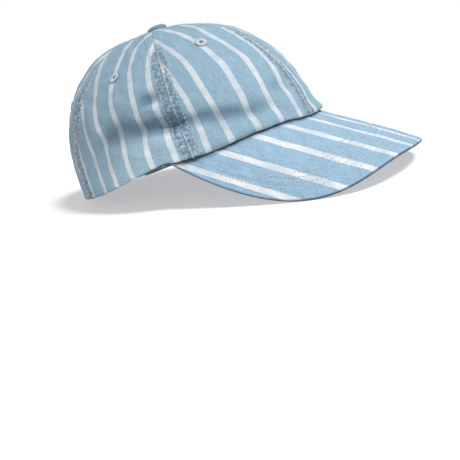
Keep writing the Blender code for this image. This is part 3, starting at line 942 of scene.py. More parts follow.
def twill_group():
    """Twill weave: a height for its diagonal ribs, and the lighter and darker yarns."""
    inputs = [("Map", "NodeSocketVector"), ("Pitch", "NodeSocketFloat")]
    outputs = [("Height", "NodeSocketFloat"), ("Yarn", "NodeSocketFloat"), ("Cloud", "NodeSocketFloat")]
    group, start, end = new_group("twill_weave", inputs, outputs)
    cloth = start.outputs["Map"]
    place = add_node(group, "ShaderNodeSeparateXYZ", {0: cloth})
    slanted = math_of(group, "MULTIPLY_ADD", place.outputs[1], TWILL_SLANT, place.outputs[0])
    ribs = math_of(group, "DIVIDE", slanted, start.outputs["Pitch"])
    waved = math_of(group, "SINE", math_of(group, "MULTIPLY", ribs, 2 * math.pi))
    rib = math_of(group, "MULTIPLY_ADD", waved, 0.5, 0.5)
    fuzz = math_of(group, "MULTIPLY", noise_of(group, cloth, FUZZ), FUZZ_SHARE)
    height = math_of(group, "MULTIPLY_ADD", rib, RIB_SHARE, fuzz)
    yarns = []
    for noise, stretch, share in ((WARP, WARP_STRETCH, WARP_SHARE), (WEFT, WEFT_STRETCH, WEFT_SHARE)):
        drawn = add_node(group, "ShaderNodeMapping", {"Vector": cloth, "Scale": stretch}).outputs[0]
        yarns.append(math_of(group, "MULTIPLY", noise_of(group, drawn, noise), share))
    yarn = math_of(group, "MULTIPLY_ADD", noise_of(group, cloth, SPECK), SPECK_SHARE,
                   math_of(group, "ADD", *yarns))
    feed(group, end, {"Height": height, "Yarn": yarn, "Cloud": noise_of(group, cloth, CLOUD)})


def new_finish(name):
    """A material, its tree and its Principled shader."""
    finish = bpy.data.materials.new(name)
    finish.use_nodes = True
    tree = finish.node_tree
    return finish, tree, tree.nodes["Principled BSDF"]


def settings():
    """The sizes and colours that a user may change."""
    return bpy.context.scene.peaked_cap


def twill_finish(name, blue, white, shade, banded):
    """Striped twill: pale stripes in heathered blue, mottled beside the seams."""
    chosen = settings()
    finish, tree, shader = new_finish(name)
    cloth_map = add_node(tree, "ShaderNodeUVMap", uv_map="cloth").outputs[0]
    stripes = add_node(tree, "ShaderNodeGroup", node_tree=bpy.data.node_groups["woven_stripes"])
    feed(tree, stripes, {"Map": cloth_map, "Spacing": chosen.stripe_spacing, "Width": chosen.stripe_width,
                         "Raggedness": STRIPE_RAGGEDNESS})
    twill = add_node(tree, "ShaderNodeGroup", node_tree=bpy.data.node_groups["twill_weave"])
    feed(tree, twill, {"Map": cloth_map, "Pitch": chosen.twill_pitch})
    yarn, cloud = twill.outputs["Yarn"], twill.outputs["Cloud"]
    dark = tinted(blue, DARK_YARN)
    body = blend_of(tree, ease(tree, yarn, *BODY_EASE), dark, tinted(blue, LIGHT_YARN))
    pale = blend_of(tree, ease(tree, yarn, *STRIPE_EASE), shade, white)
    colour = blend_of(tree, stripes.outputs["Mask"], body, pale)
    colour = blend_of(tree, ease(tree, cloud, *CLOUD_EASE), colour, dark)
    if banded:
        # Beside a seam the cloth is flecked darker and paler, and has a thin pale line, as photographed
        white_line = tuple(chosen.stripe_white)
        in_band = ease(tree, attribute_of(tree, "seam_distance"), *BAND_EASE)
        fleck = noise_of(tree, cloth_map, FLECK)
        darker = math_of(tree, "MULTIPLY", in_band, ease(tree, fleck, *DARK_FLECK_EASE))
        paler = math_of(tree, "MULTIPLY", in_band, ease(tree, fleck, *PALE_FLECK_EASE))
        colour = blend_of(tree, darker, colour, tinted(blue, DARK_FLECK))
        colour = blend_of(tree, paler, colour, white_line)
        ridge = math_of(tree, "MULTIPLY", attribute_of(tree, "ridge"), RIDGE_AMOUNT)
        colour = blend_of(tree, ridge, colour, white_line)
        # The base colour is darkened in the hollows, beyond their own shading, to match the photograph
        deep = blend_of(tree, 1.0, colour, PAINTED_SHADE_TINT, "MULTIPLY")
        colour = blend_of(tree, ease(tree, attribute_of(tree, "hollow"), *PAINTED_SHADE_EASE), colour, deep)
        # The base colour is made paler low on the sides as painted light, also to match the photograph
        painted_paler = blend_of(tree, 1.0, colour, PAINTED_LIGHT_TINT, "MULTIPLY")
        colour = blend_of(tree, attribute_of(tree, "paler_foot"), colour, painted_paler)
    # Painted shade: the cloth is darkest in the crease where crown and peak meet, and round the peak's edge
    crease = math_of(tree, "MULTIPLY", attribute_of(tree, "crease"), CREASE_SHADE_AMOUNT)
    colour = blend_of(tree, crease, colour, tuple(chosen.crease_shade_blue))
    normal = bump_of(tree, twill.outputs["Height"], TWILL_BUMP)
    feed(tree, shader, {"Base Color": colour, "Roughness": ease(tree, yarn, *TWILL_ROUGHNESS),
                        "Normal": normal, **TWILL_SHINE})
    return finish


def plain_finish(name, colour, roughness, scale, contrast, depth):
    """A plain thread or cloth with fine fibres, from Object coordinates."""
    finish, tree, shader = new_finish(name)
    place = add_node(tree, "ShaderNodeTexCoord").outputs["Object"]
    fibre = noise_of(tree, place, Noise(scale, FIBRE_DETAIL, FIBRE_ROUGHNESS))
    tone = blend_of(tree, ease(tree, fibre, *FIBRE_EASE), tinted(colour, 1 - contrast), tuple(colour))
    worn = ease(tree, fibre, *FIBRE_ROUGHNESS_EASE, roughness, roughness - FIBRE_SMOOTHER)
    normal = bump_of(tree, fibre, {"Strength": FIBRE_BUMP, "Distance": depth})
    feed(tree, shader, {"Base Color": tone, "Roughness": worn, "Normal": normal,
                        "Specular IOR Level": FIBRE_SHINE})
    return finish


def finish_named(name):
    """A finish of the cap, made the first time that it is asked for."""
    if name in bpy.data.materials:
        return bpy.data.materials[name]
    chosen = settings()
    if "woven_stripes" not in bpy.data.node_groups:
        stripes_group()
        twill_group()
    if name in TWILL_FINISHES:
        *colours, banded = TWILL_FINISHES[name]
        return twill_finish(name, *[tuple(getattr(chosen, colour)) for colour in colours], banded)
    colour, *fibres = PLAIN_FINISHES[name]
    return plain_finish(name, tuple(getattr(chosen, colour)), *fibres)


def colour_of(label, note, *channels):
    """A colour that the user may change."""
    return bpy.props.FloatVectorProperty(name=label, description=note, size=4, subtype="COLOR",
                                         default=(*channels, 1.0))


def length_of(label, note, metres):
    """A length that the user may change."""
    return bpy.props.FloatProperty(name=label, description=note, default=metres, unit="LENGTH")


def amount_of(label, note, amount):
    """An amount that the user may change."""
    return bpy.props.FloatProperty(name=label, description=note, default=amount)


class CapSettings(bpy.types.PropertyGroup):
    """The sizes and colours of the cap's cloth, thread and stage."""

    stripe_spacing: length_of("Stripe spacing", "From one stripe's middle to the next", 0.020)
    stripe_width: length_of("Stripe width", "How wide a pale stripe is", 0.0047)
    twill_pitch: length_of("Twill pitch", "From one rib of the twill to the next", 0.0008)
    twill_blue: colour_of("Crown blue", "The ground colour of the crown's cloth", 0.206, 0.311, 0.393)
    # The peak's colours are the crown's cloth drawn paler, as painted light on the peak's top
    peak_blue: colour_of("Peak blue", "The ground colour of the peak's cloth", 0.234, 0.356, 0.462)
    # Painted shade for the crease over the peak and round the peak's edge
    crease_shade_blue: colour_of("Crease blue", "The cloth deep in a crease and round the peak's edge",
                           0.030, 0.048, 0.075)
    stripe_white: colour_of("Stripe white", "The lighter yarns of the stripes", 0.50, 0.54, 0.57)
    stripe_shade: colour_of("Stripe shade", "The darker yarns of the stripes", 0.41, 0.45, 0.48)
    peak_white: colour_of("Peak white", "The lighter yarns of the peak's stripes", 0.62, 0.64, 0.65)
    peak_shade: colour_of("Peak shade", "The darker yarns of the peak's stripes", 0.50, 0.53, 0.56)
    button_blue: colour_of("Button blue", "The button's cloth", 0.13, 0.26, 0.38)
    eyelet_thread: colour_of("Eyelet thread", "The thread of the eyelets", 0.42, 0.45, 0.52)
    stitch_thread: colour_of("Stitch thread", "The thread of the seams", 0.37, 0.45, 0.51)
    stitch_length: length_of("Stitch length", "How long one stitch is", 0.0021)
    stitch_pitch: length_of("Stitch pitch", "From one stitch to the next", 0.0030)
    stitch_thickness: length_of("Thread thickness", "How thick the sewing thread is", 0.0006)
    peak_row_spacing: length_of("Peak row spacing", "From one row of the peak to the next", 0.0046)
    peak_rows: bpy.props.IntProperty(
        name="Peak rows", description="How many rows of stitches run round the peak", default=7, min=1)
    peak_first_row: length_of("First peak row", "From the peak's edge to its outermost row", 0.009)
    key_strength: amount_of("Key light", "How strong the light from above is", 4.0)
    side_strength: amount_of("Side light", "How strong the soft light from the right is", 0.62)
    floor_glow: amount_of("Floor glow", "How much light the floor gives off", 0.42)
    sky_strength: amount_of("Soft light", "How strong the light from all round is", 0.16)


def grain_map(panel, sideways, share):
    """The cloth coordinate across a panel, at which its stripes lie a spacing apart."""
    spacing = settings().stripe_spacing
    shares = [row[0] for row in panel.grain]
    places = np.array([row[1] for row in panel.grain]) / MILLIMETRES
    count = places.shape[1]
    numbers = np.arange(count) - count // 2
    steps = round(GRAIN_STEPS * (1 + 2 * GRAIN_MARGIN))
    even = np.linspace(-GRAIN_MARGIN, 1 + GRAIN_MARGIN, steps + 1)
    weights = bell(np.arange(-GRAIN_REACH, GRAIN_REACH + 1) / GRAIN_STEPS, GRAIN_SPREAD)
    smooth = [np.convolve(np.interp(even, shares, places[:, k]), weights / weights.sum(), "same")
              for k in range(count)]
    inner = slice(GRAIN_TRIM, -GRAIN_TRIM)
    numbered = np.concatenate([[numbers[0] - 1], numbers, [numbers[-1] + 1]]) * spacing
    result = np.empty_like(sideways)
    for i in range(len(share)):
        known = np.array([np.interp(share[i], even[inner], line[inner]) for line in smooth])
        known = np.concatenate([[known[0] - spacing], known, [known[-1] + spacing]])
        result[i] = np.interp(sideways[i], known, numbered)
        below, above = sideways[i] < known[0], sideways[i] > known[-1]
        result[i][below] = numbered[0] + (sideways[i][below] - known[0])
        result[i][above] = numbered[-1] + (sideways[i][above] - known[-1])
    return result


def add_panel(panel):
    """One gore of the crown: its wall, its eyelet's hole and, at the back, half of the arch."""
    even = np.linspace(0, 1, PANEL_COLUMNS)
    columns = (even + eased(even)) / 2
    shares = np.concatenate([RIM_ROWS, np.linspace(AFTER_RIM_ROWS, 1, PANEL_ROWS - len(RIM_ROWS))])
    turns = panel.start + columns * (panel.end - panel.start)
    climbs, metres = climbs_at(turns, shares)
    turn = np.broadcast_to(turns, climbs.shape)
    inset = (1 - 2 * columns) * SEAM_GAP / 2 * turn_per_metre(turn, climbs)
    turn = turn + inset
    thinner = rounded_edge(metres, CLOTH / 2)
    outer = cloth_point(turn, climbs, metres, -thinner)
    inner = cloth_point(turn, climbs, metres, thinner - CLOTH)
    steps = np.linalg.norm(np.diff(crown_base(turn, climbs), axis=1), axis=-1)
    walked = np.concatenate([np.zeros((len(shares), 1)), np.cumsum(steps, axis=1)], axis=1)
    middle = (panel.start + panel.end) / 2
    centre = np.array([np.interp(middle, turn[i], walked[i]) for i in range(len(shares))])
    sideways = walked - centre[:, None]
    band = band_share(metres)
    _, offset, lapped = nearest_seam(turn, climbs)
    # Painted shade in the crease over the peak, fainter behind the peak's corners
    behind = smooth_fall(past_corner(turn) / CREASE_BLEND)
    # How sunken the folds are, for the painted shade in the hollows
    sunken = -folded(turn, crown_rise(turn, climbs) + PAINTED_SHADE_LIFT, PAINTED_SHADE_FOLDS)
    # Where painted light makes the cloth paler, low on both sides
    low_side = bell(np.abs(wrap(turn)) - PAINTED_LIGHT_TURN, PAINTED_LIGHT_SPREAD)
    maps = {
        "cloth": np.stack([grain_map(panel, sideways, shares), metres], axis=-1),
        "seam_distance": np.minimum(walked, walked[:, -1:] - walked) + BAND_FADE * (1 - band),
        "crease": bell(metres, CREASE_WIDTH) * (CREASE_BEHIND + (1 - CREASE_BEHIND) * behind),
        "hollow": np.clip(sunken / PAINTED_SHADE_DEPTH, 0, 1),
        "ridge": bell(np.abs(offset) - RIDGE_PLACE, RIDGE_WIDTH) * lapped * band,
        "paler_foot": low_side * smooth_fall(metres / PAINTED_LIGHT_HEIGHT),
    }
    piece = closed_wall("cloth_" + panel.node, outer, inner, finish_named("cap_striped_twill"), maps)
    deselect_all()
    bpy.ops.mesh.primitive_cylinder_add(vertices=EYELET_HOLE_SIDES, radius=EYELET_SLEEVE / 2 + GAP,
                                        depth=EYELET_HOLE_DEPTH)
    hole = bpy.context.object
    hole.matrix_world = eyelet_seat(panel)
    cut(piece, hole)
    if panel.node.startswith("back"):
        cut(piece, arch_cutter())
    dress(piece, panel.node)
    declare_gore(panel, walked, metres)


def panels_at(seam):
    """The nodes of the two panels that meet at a seam."""
    return [panel.node for panel in PANELS
            if min(abs(wrap(panel.start - seam)), abs(wrap(panel.end - seam))) < STEP]


def declare_gore(panel, walked, metres):
    """Works out a panel's widths and heights, the area between its seams and the pieces that hold it, and
    keeps none of it.
    """
    widths, climbed = walked[:, -1], metres.mean(axis=1)
    area = float(np.sum((widths[1:] + widths[:-1]) / 2 * np.diff(climbed)))
    if panel.node.startswith("back"):
        share = math.gamma(1 + 1 / ARCH_FULLNESS) ** 2 / math.gamma(1 + 2 / ARCH_FULLNESS)
        area -= ARCH_WIDTH * ARCH_HEIGHT * share / 2
    sewn_to = panels_at(panel.start) + panels_at(panel.end)
    supports = [node for node in sewn_to if node != panel.node]
    if panel.node.startswith("front"):
        supports.append("peak")


def arch_edge(angles):
    """The arch's edge across and up, from its left foot at angle 0 over the top to its right one."""
    parts = np.stack([np.cos(angles), np.sin(angles)], axis=-1)
    squared = np.sign(parts) * np.abs(parts) ** (2 / ARCH_FULLNESS)
    return squared * np.array([ARCH_WIDTH / 2, ARCH_HEIGHT])


def arch_cutter():
    """The solid that is taken out of the back panels over the strap."""
    edge = arch_edge(np.linspace(0, 2 * math.pi, ARCH_SIDES, endpoint=False))
    near = np.insert(edge, 1, RIM_LENGTH / 4, axis=1)
    far = near + np.array([0, RIM_LENGTH / 2, 0])
    count = ARCH_SIDES
    faces = [list(range(count)), [count + i for i in reversed(range(count))]]
    faces += [[i, count + i, count + (i + 1) % count, (i + 1) % count] for i in range(count)]
    return mesh_piece("arch_cutter", to_world(np.concatenate([near, far])), faces,
                      finish_named("cap_striped_twill"))


def eyelet_seat(panel):
    """The frame at the middle of a panel's eyelet that stands out from the cloth, in world axes."""
    turn = np.array([panel.eyelet_turn])
    climb = climb_to_rise(turn, EYELET_HEIGHT_SHARE)
    reach = EYELET_WIDTH / 2 * turn_per_metre(turn, climb)
    lift = EYELET_WIDTH / 2 / CROWN_HEIGHT
    centre = Vector(to_world(crown_point(turn, climb))[0])
    beside = to_world(crown_point(turn + reach, climb)) - to_world(crown_point(turn - reach, climb))
    above = to_world(crown_point(turn, climb + lift)) - to_world(crown_point(turn, climb - lift))
    out = Vector(above[0]).cross(Vector(beside[0])).normalized()
    turned = out.to_track_quat("Z", "Y").to_matrix().to_4x4()
    return Matrix.Translation(centre) @ turned


class CAP_OT_panels(bpy.types.Operator):
    """Makes the six cloth panels of the crown"""

    bl_idname = "peaked_cap.panels"
    bl_label = "Crown Panels"

    def execute(self, context):
        for panel in PANELS:
            add_panel(panel)
        return {"FINISHED"}


def peak_outline(share):
    """The peak's outer edge seen from above, from its corner at share 0 to the middle of its tip."""
    corner = np.array(rim_point(CORNER_TURN))
    tip = np.array([0, RIM_LENGTH / 2 + PEAK_REACH])
    corner_pull = corner + CORNER_PULL * np.array([math.sin(CORNER_SPLAY), math.cos(CORNER_SPLAY)])
    tip_pull = tip + np.array([TIP_PULL, 0])
    share = np.asarray(share)[:, None]
    left = 1 - share
    return (left ** 3 * corner + 3 * left ** 2 * share * corner_pull
            + 3 * left * share ** 2 * tip_pull + share ** 3 * tip)


def whole_outline(count):
    """The peak's outer edge from its left corner round to its right one."""
    half = peak_outline(np.linspace(0, 1, count))
    other = half[::-1][1:] * np.array([-1, 1])
    return np.concatenate([half, other])


def edge_distance(across, forward):
    """How far inside the peak's outer edge each place is, over its bent surface."""
    outline = whole_outline(OUTLINE_SAMPLES)
    nearest = np.full(np.shape(across), np.inf)
    fall_across, fall_forward = peak_slopes(across)
    for x, y in outline:
        dx, dy = across - x, forward - y
        drop = fall_across * dx + fall_forward * dy
        nearest = np.minimum(nearest, np.sqrt(dx ** 2 + dy ** 2 + drop ** 2))
    return nearest


def peak_normal(across):
    """The upward direction of the peak's top, as (across, forward, up)."""
    fall_across, fall_forward = peak_slopes(across)
    normal = np.stack([fall_across, fall_forward, 0 * across + 1], axis=-1)
    return normal / np.linalg.norm(normal, axis=-1, keepdims=True)


def peak_cloth_across(across):
    """The metres of cloth from the peak's middle, round its bend."""
    known = np.linspace(0, PEAK_BEND_REACH, BEND_SAMPLES)
    fall = peak_slopes(known)[0]
    length = np.concatenate([[0], np.cumsum(np.sqrt(1 + fall[1:] ** 2) * np.diff(known))])
    return np.sign(across) * np.interp(np.abs(across), known, length)


def peak_relief(across, forward, from_edge):
    """The relief of the peak's cloth: its rows of stitches and the puckers between them."""
    chosen = settings()
    row = (from_edge - chosen.peak_first_row) / chosen.peak_row_spacing
    last = chosen.peak_rows - 1
    off_row = np.abs(row - np.clip(np.round(row), 0, last)) * chosen.peak_row_spacing
    along = peak_cloth_across(across)
    tuck = -ROW_TUCK * bell(off_row, ROW_TUCK_WIDTH)
    in_rows = smooth_fall(-row - ROW_MARGIN) * smooth_fall(row - last - ROW_MARGIN)
    crimp = ROW_CRIMP * ripple(along + ROW_CRIMP_SLANT * forward, np.round(row) * ROW_CRIMP_PHASE) * in_rows
    fine = ripple(forward * FINE_CRIMP_FORWARD - FINE_CRIMP_ACROSS * along, along * FINE_CRIMP_PHASE)
    fine = FINE_CRIMP * fine * (FINE_CRIMP_OUTSIDE + (1 - FINE_CRIMP_OUTSIDE) * in_rows)
    wave = PEAK_WAVE * soft_waves(along, forward, PEAK_WAVE_START)
    edge_roll = -EDGE_ROLL * bell(from_edge - EDGE_ROLL_PLACE, EDGE_ROLL_WIDTH)
    return tuck + crimp + fine + wave + edge_roll


def peak_top(across, forward, from_edge):
    """The peak's top as (across, forward, up), with its edge drooping beside the tip."""
    droop = DROOP * bell(across - DROOP_ACROSS, DROOP_SPREAD) * smooth_fall(from_edge / DROOP_INSIDE)
    return np.stack([across, forward, peak_height(across, forward) - droop], axis=-1)


def add_peak():
    """The stiff peak under its cloth, with rows of stitches round it."""
    half_thickness = PEAK_THICKNESS / 2
    side = np.linspace(-1, 1, PEAK_COLUMNS)
    depth = np.linspace(0, 1, PEAK_ROWS)
    turn = side * CORNER_TURN
    across, forward = rim_point(turn)
    tuck = 1 - (CLOTH + PEAK_TUCK) / np.hypot(across, forward)
    outer = peak_outline(1 - np.abs(side))
    outer[:, 0] *= np.sign(side)
    out = np.sin(depth * math.pi / 2)[:, None]
    across_now = across * tuck + (outer[:, 0] - across * tuck) * out
    forward_now = forward * tuck + (outer[:, 1] - forward * tuck) * out
    to_edge = np.hypot(outer[:, 0] - across_now, outer[:, 1] - forward_now)
    half = half_thickness * edge_share(to_edge, half_thickness)
    from_edge = edge_distance(across_now, forward_now)
    relief = peak_relief(across_now, forward_now, from_edge) * np.clip(to_edge / EDGE_PLAIN, 0, 1)
    normal = peak_normal(across_now)
    top = peak_top(across_now, forward_now, from_edge)
    upper = top - normal * (half_thickness - half - relief)[..., None]
    lower = top - normal * (half_thickness + half + UNDER_RELIEF * relief)[..., None]
    places = np.array(PEAK_STRIPES) / MILLIMETRES
    numbers = (FIRST_PEAK_STRIPE + np.arange(len(PEAK_STRIPES))) * settings().stripe_spacing
    cloth = np.stack([np.interp(peak_cloth_across(across_now), places, numbers), forward_now], axis=-1)
    # Painted shade where the peak meets the crown and round the peak's edge
    past_rim = np.hypot(across_now / (RIM_WIDTH / 2), forward_now / (RIM_LENGTH / 2)) - 1
    shaded = bell(np.maximum(past_rim, 0) * RIM_WIDTH / 2, PEAK_CREASE_WIDTH)
    edge = smooth_fall(to_edge / EDGE_LINE_WIDTH)
    under_edge = smooth_fall(to_edge / EDGE_BAND_WIDTH - EDGE_BAND_START)
    maps = {"cloth": cloth, "crease": (np.maximum(shaded, edge), np.maximum(shaded, under_edge))}
    upper, lower = upper * PEAK_AXES, lower * PEAK_AXES
    piece = closed_wall("cloth_peak", upper, lower, finish_named("cap_peak_twill"), maps)
    dress(piece, "peak")


class CAP_OT_peak(bpy.types.Operator):
    """Makes the peak under its striped cloth"""

    bl_idname = "peaked_cap.peak"
    bl_label = "Peak"

    def execute(self, context):
        add_peak()
        return {"FINISHED"}


def back_cloth_at(across, up):
    """The turn and the climb at which the back of the crown is this far across and up."""
    turn = math.pi + np.arcsin(across / (RIM_WIDTH / 2))
    rise = up / CROWN_HEIGHT
    for _ in range(SOLVE_ROUNDS):
        here = crown_point(turn, climb_to_rise(turn, rise))
        by_turn = (crown_point(turn + STEP, climb_to_rise(turn + STEP, rise)) - here) / STEP
        by_rise = (crown_point(turn, climb_to_rise(turn, rise + STEP)) - here) / STEP
        miss_across, miss_up = across - here[..., 0], up - here[..., 2]
        spread = by_turn[..., 0] * by_rise[..., 2] - by_rise[..., 0] * by_turn[..., 2]
        turn = turn + (miss_across * by_rise[..., 2] - miss_up * by_rise[..., 0]) / spread
        rise = rise + (by_turn[..., 0] * miss_up - by_turn[..., 2] * miss_across) / spread
        rise = np.clip(rise, SOLVE_LOWEST, SOLVE_HIGHEST)
    return turn, climb_to_rise(turn, rise), rise * CROWN_HEIGHT


def binding_cloth(inside):
    """Where the binding's cloth lies on the crown, at distances from the arch's edge."""
    angles = np.linspace(BINDING_START, math.pi - BINDING_START, BINDING_COLUMNS)
    edge = arch_edge(angles)
    along = np.gradient(edge, axis=0)
    along /= np.linalg.norm(along, axis=-1, keepdims=True)
    away = np.stack([along[:, 1], -along[:, 0]], axis=-1)
    place = edge[None] + np.asarray(inside)[:, None, None] * away[None]
    return back_cloth_at(place[..., 0], place[..., 1]), walked_along(edge)


def plain_maps(across, along):
    """The maps of plain cloth away from every seam, from its coordinates across and along the stripes."""
    none = 0 * across
    maps = {"cloth": np.stack([across, along + none], axis=-1), "seam_distance": none + STRAP_WIDTH}
    for name in ("crease", "hollow", "ridge", "paler_foot"):
        maps[name] = none
    return maps


def add_binding():
    """The tape folded over the edge of the arch, and its row of stitches."""
    even = np.linspace(0, 1, BINDING_ROWS)
    inside = -BINDING_WRAP + (BINDING_WIDTH + BINDING_WRAP) * eased(even)
    (turn, climb, metres), walked = binding_cloth(inside)
    fold_round = rounded_edge(inside + BINDING_WRAP, CLOTH / 2 + BINDING_THICKNESS)[:, None]
    end_round = rounded_edge(BINDING_WIDTH - inside, BINDING_THICKNESS)[:, None]
    near_row = bell(inside - BINDING_STITCH, BINDING_CRIMP_WIDTH)[:, None]
    crimp = BINDING_CRIMP * ripple(walked, BINDING_CRIMP_PHASE)[None, :] * near_row
    outer = cloth_point(turn, climb, metres, BINDING_THICKNESS - fold_round - end_round + crimp)
    inner = cloth_point(turn, climb, metres, -CLOTH - GAP / 2 + fold_round)
    sideways = (inside - BINDING_WIDTH / 2)[:, None] + 0 * turn
    maps = plain_maps(settings().stripe_spacing / 2 + sideways, walked[None, :])
    piece = closed_wall("cloth_arch_binding", outer, inner, finish_named("cap_striped_twill"), maps)
    dress(piece, None)
    (turn, climb, metres), _ = binding_cloth([BINDING_STITCH])
    row = surface_row(turn[0], climb[0], metres[0], BINDING_THICKNESS + BINDING_ROW_LIFT)
    stitch_rows("stitches_binding", [row])


def over_arch(seam):
    """Whether a seam runs down to the arch instead of the rim."""
    return abs(abs(seam) - math.pi) < STEP


def add_tape(number):
    """The tape over one seam inside the crown."""
    seam = SEAM_TURNS[number]
    start = TAPE_START_OVER_ARCH if over_arch(seam) else TAPE_START
    across = np.linspace(-0.5, 0.5, TAPE_COLUMNS) * TAPE_WIDTH
    climb, metres = climbs_at(np.array([seam]), np.linspace(start, TAPE_END, TAPE_ROWS))
    turn = seam + across[None, :] * turn_per_metre(np.full(climb.shape, seam), climb)
    climb, metres = climb + 0 * turn, metres + 0 * turn
    face = -CLOTH - TAPE_CLEARANCE
    outer = cloth_point(turn, climb, metres, face)
    inner = cloth_point(turn, climb, metres, face - TAPE_THICKNESS)
    maps = plain_maps(settings().stripe_spacing / 2 + (across[None, :] + 0 * turn), metres)
    name = "cloth_seam_tape_%d" % (number + 1)
    piece = closed_wall(name, outer, inner, finish_named("cap_striped_twill"), maps)
    dress(piece, None)


class CAP_OT_tapes(bpy.types.Operator):
    """Makes the binding of the arch and the tapes over the seams inside the crown"""

    bl_idname = "peaked_cap.tapes"
    bl_label = "Binding and Tapes"

    def execute(self, context):
        add_binding()
        for number in range(len(SEAM_TURNS)):
            add_tape(number)
        return {"FINISHED"}


def strap_reach():
    """Half of the strap's length, as a turn."""
    return math.asin(ARCH_WIDTH / RIM_WIDTH) + STRAP_OVERLAP / (RIM_WIDTH / 2)


def add_strap():
    """The plain cloth strap across the foot of the arch."""
    side = np.linspace(-1, 1, STRAP_COLUMNS)
    up = eased(np.linspace(0, 1, STRAP_ROWS))
    turn = np.broadcast_to(math.pi + side * strap_reach(), (STRAP_ROWS, STRAP_COLUMNS))
    height = (STRAP_LIFT + up * STRAP_WIDTH)[:, None] / CROWN_HEIGHT
    climb = climb_to_rise(turn, height)
    base = crown_base(turn, climb)
    normal = crown_normal(turn, climb)
    along = walked_along(base[0])
    along = np.broadcast_to(along - along[-1] / 2, turn.shape)
    to_edge = np.minimum(up, 1 - up)[:, None] * STRAP_WIDTH
    thinner = rounded_edge(to_edge, STRAP_THICKNESS / 2)
    relief = -STRAP_TUCK * bell(to_edge - STRAP_ROW_PLACE, STRAP_TUCK_WIDTH)
    relief = relief + STRAP_CRIMP * ripple(along, up[:, None] * STRAP_CRIMP_PHASE)
    relief = relief * np.clip(to_edge / STRAP_EDGE, 0, 1)
    inside = CLOTH + GAP
    outer = base - normal * (inside + thinner - np.minimum(relief, 0))[..., None]
    inner = base - normal * (inside + STRAP_THICKNESS - thinner)[..., None]
    maps = plain_maps(along, height * CROWN_HEIGHT)
    piece = closed_wall("cloth_back_strap", outer, inner, finish_named("cap_striped_twill"), maps)
    dress(piece, "back_strap")


class CAP_OT_strap(bpy.types.Operator):
    """Makes the strap at the back"""

    bl_idname = "peaked_cap.strap"
    bl_label = "Back Strap"

    def execute(self, context):
        add_strap()
        return {"FINISHED"}


def one_stitch():
    """One stitch along X, from a sphere, as its points and faces."""
    chosen = settings()
    add_ball(STITCH_SEGMENTS, 0.5)
    size = (chosen.stitch_length, chosen.stitch_thickness, chosen.stitch_thickness)
    ball = shaped(size, on_side=True)
    points = np.array([vert.co[:] for vert in ball.data.vertices])
    faces = [list(face.vertices) for face in ball.data.polygons]
    bpy.data.objects.remove(ball, do_unlink=True)
    # A stitch is fullest over its middle and dips into the cloth at both ends
    half = chosen.stitch_length / 2
    share = np.abs(points[:, 0] / half)
    points[:, 0] = np.sign(points[:, 0]) * share ** STITCH_FULLNESS * half
    points[:, 2] -= STITCH_DIP * chosen.stitch_thickness * share ** STITCH_DIP_POWER
    return points, faces


def place_on(path, walked, metres):
    """The place on a path, or the direction in a list of them, this many metres along it."""
    return np.array([np.interp(metres, walked, path[:, k]) for k in range(3)])


def stitch_rows(name, rows):
    """Stitches along rows of (points, normals) in world axes, all as one piece."""
    chosen = settings()
    points, faces = one_stitch()
    reach = STITCH_REACH * chosen.stitch_length
    all_points, all_faces = [], []
    for path, normals in rows:
        walked = walked_along(path)
        for number in range(int(walked[-1] / chosen.stitch_pitch)):
            middle = (number + 0.5) * chosen.stitch_pitch
            ends = [place_on(path, walked, middle + shift) for shift in (-reach, reach)]
            along = ends[1] - ends[0]
            along = along / np.linalg.norm(along)
            up = place_on(normals, walked, middle)
            up = up - along * (up @ along)
            up = up / np.linalg.norm(up)
            frame_axes = np.stack([along, np.cross(up, along), up])
            first = len(all_points) * len(points)
            all_points.append(points @ frame_axes + (ends[0] + ends[1]) / 2)
            all_faces += [[first + corner for corner in face] for face in faces]
    piece = mesh_piece(name, np.concatenate(all_points), all_faces, finish_named("cap_stitch_thread"))
    dress(piece, None)


def surface_row(turn, climb, metres, out):
    """A row along the sewn crown, with the directions out of it, in world axes."""
    path = to_world(cloth_point(turn, climb, metres, out))
    normals = to_world(crown_normal(turn, climb)) - REST_PLACE
    return path, normals


def seam_rows(seam):
    """The two rows of stitches beside a seam, from the rim to near the button."""
    rows = []
    start = SEAM_ROW_START_OVER_ARCH if over_arch(seam) else SEAM_ROW_START
    climb, metres = climbs_at(np.array([seam]), np.linspace(start, SEAM_ROW_END, SEAM_ROW_SAMPLES))
    climb, metres = climb[:, 0], metres[:, 0]
    for side in (-1, 1):
        turn = seam + side * STITCH_OFFSET * turn_per_metre(np.full(len(climb), seam), climb)
        keep = np.abs(turn - seam) < SEAM_ROW_SPREAD
        rows.append(surface_row(turn[keep], climb[keep], metres[keep], SEAM_ROW_LIFT))
    return rows


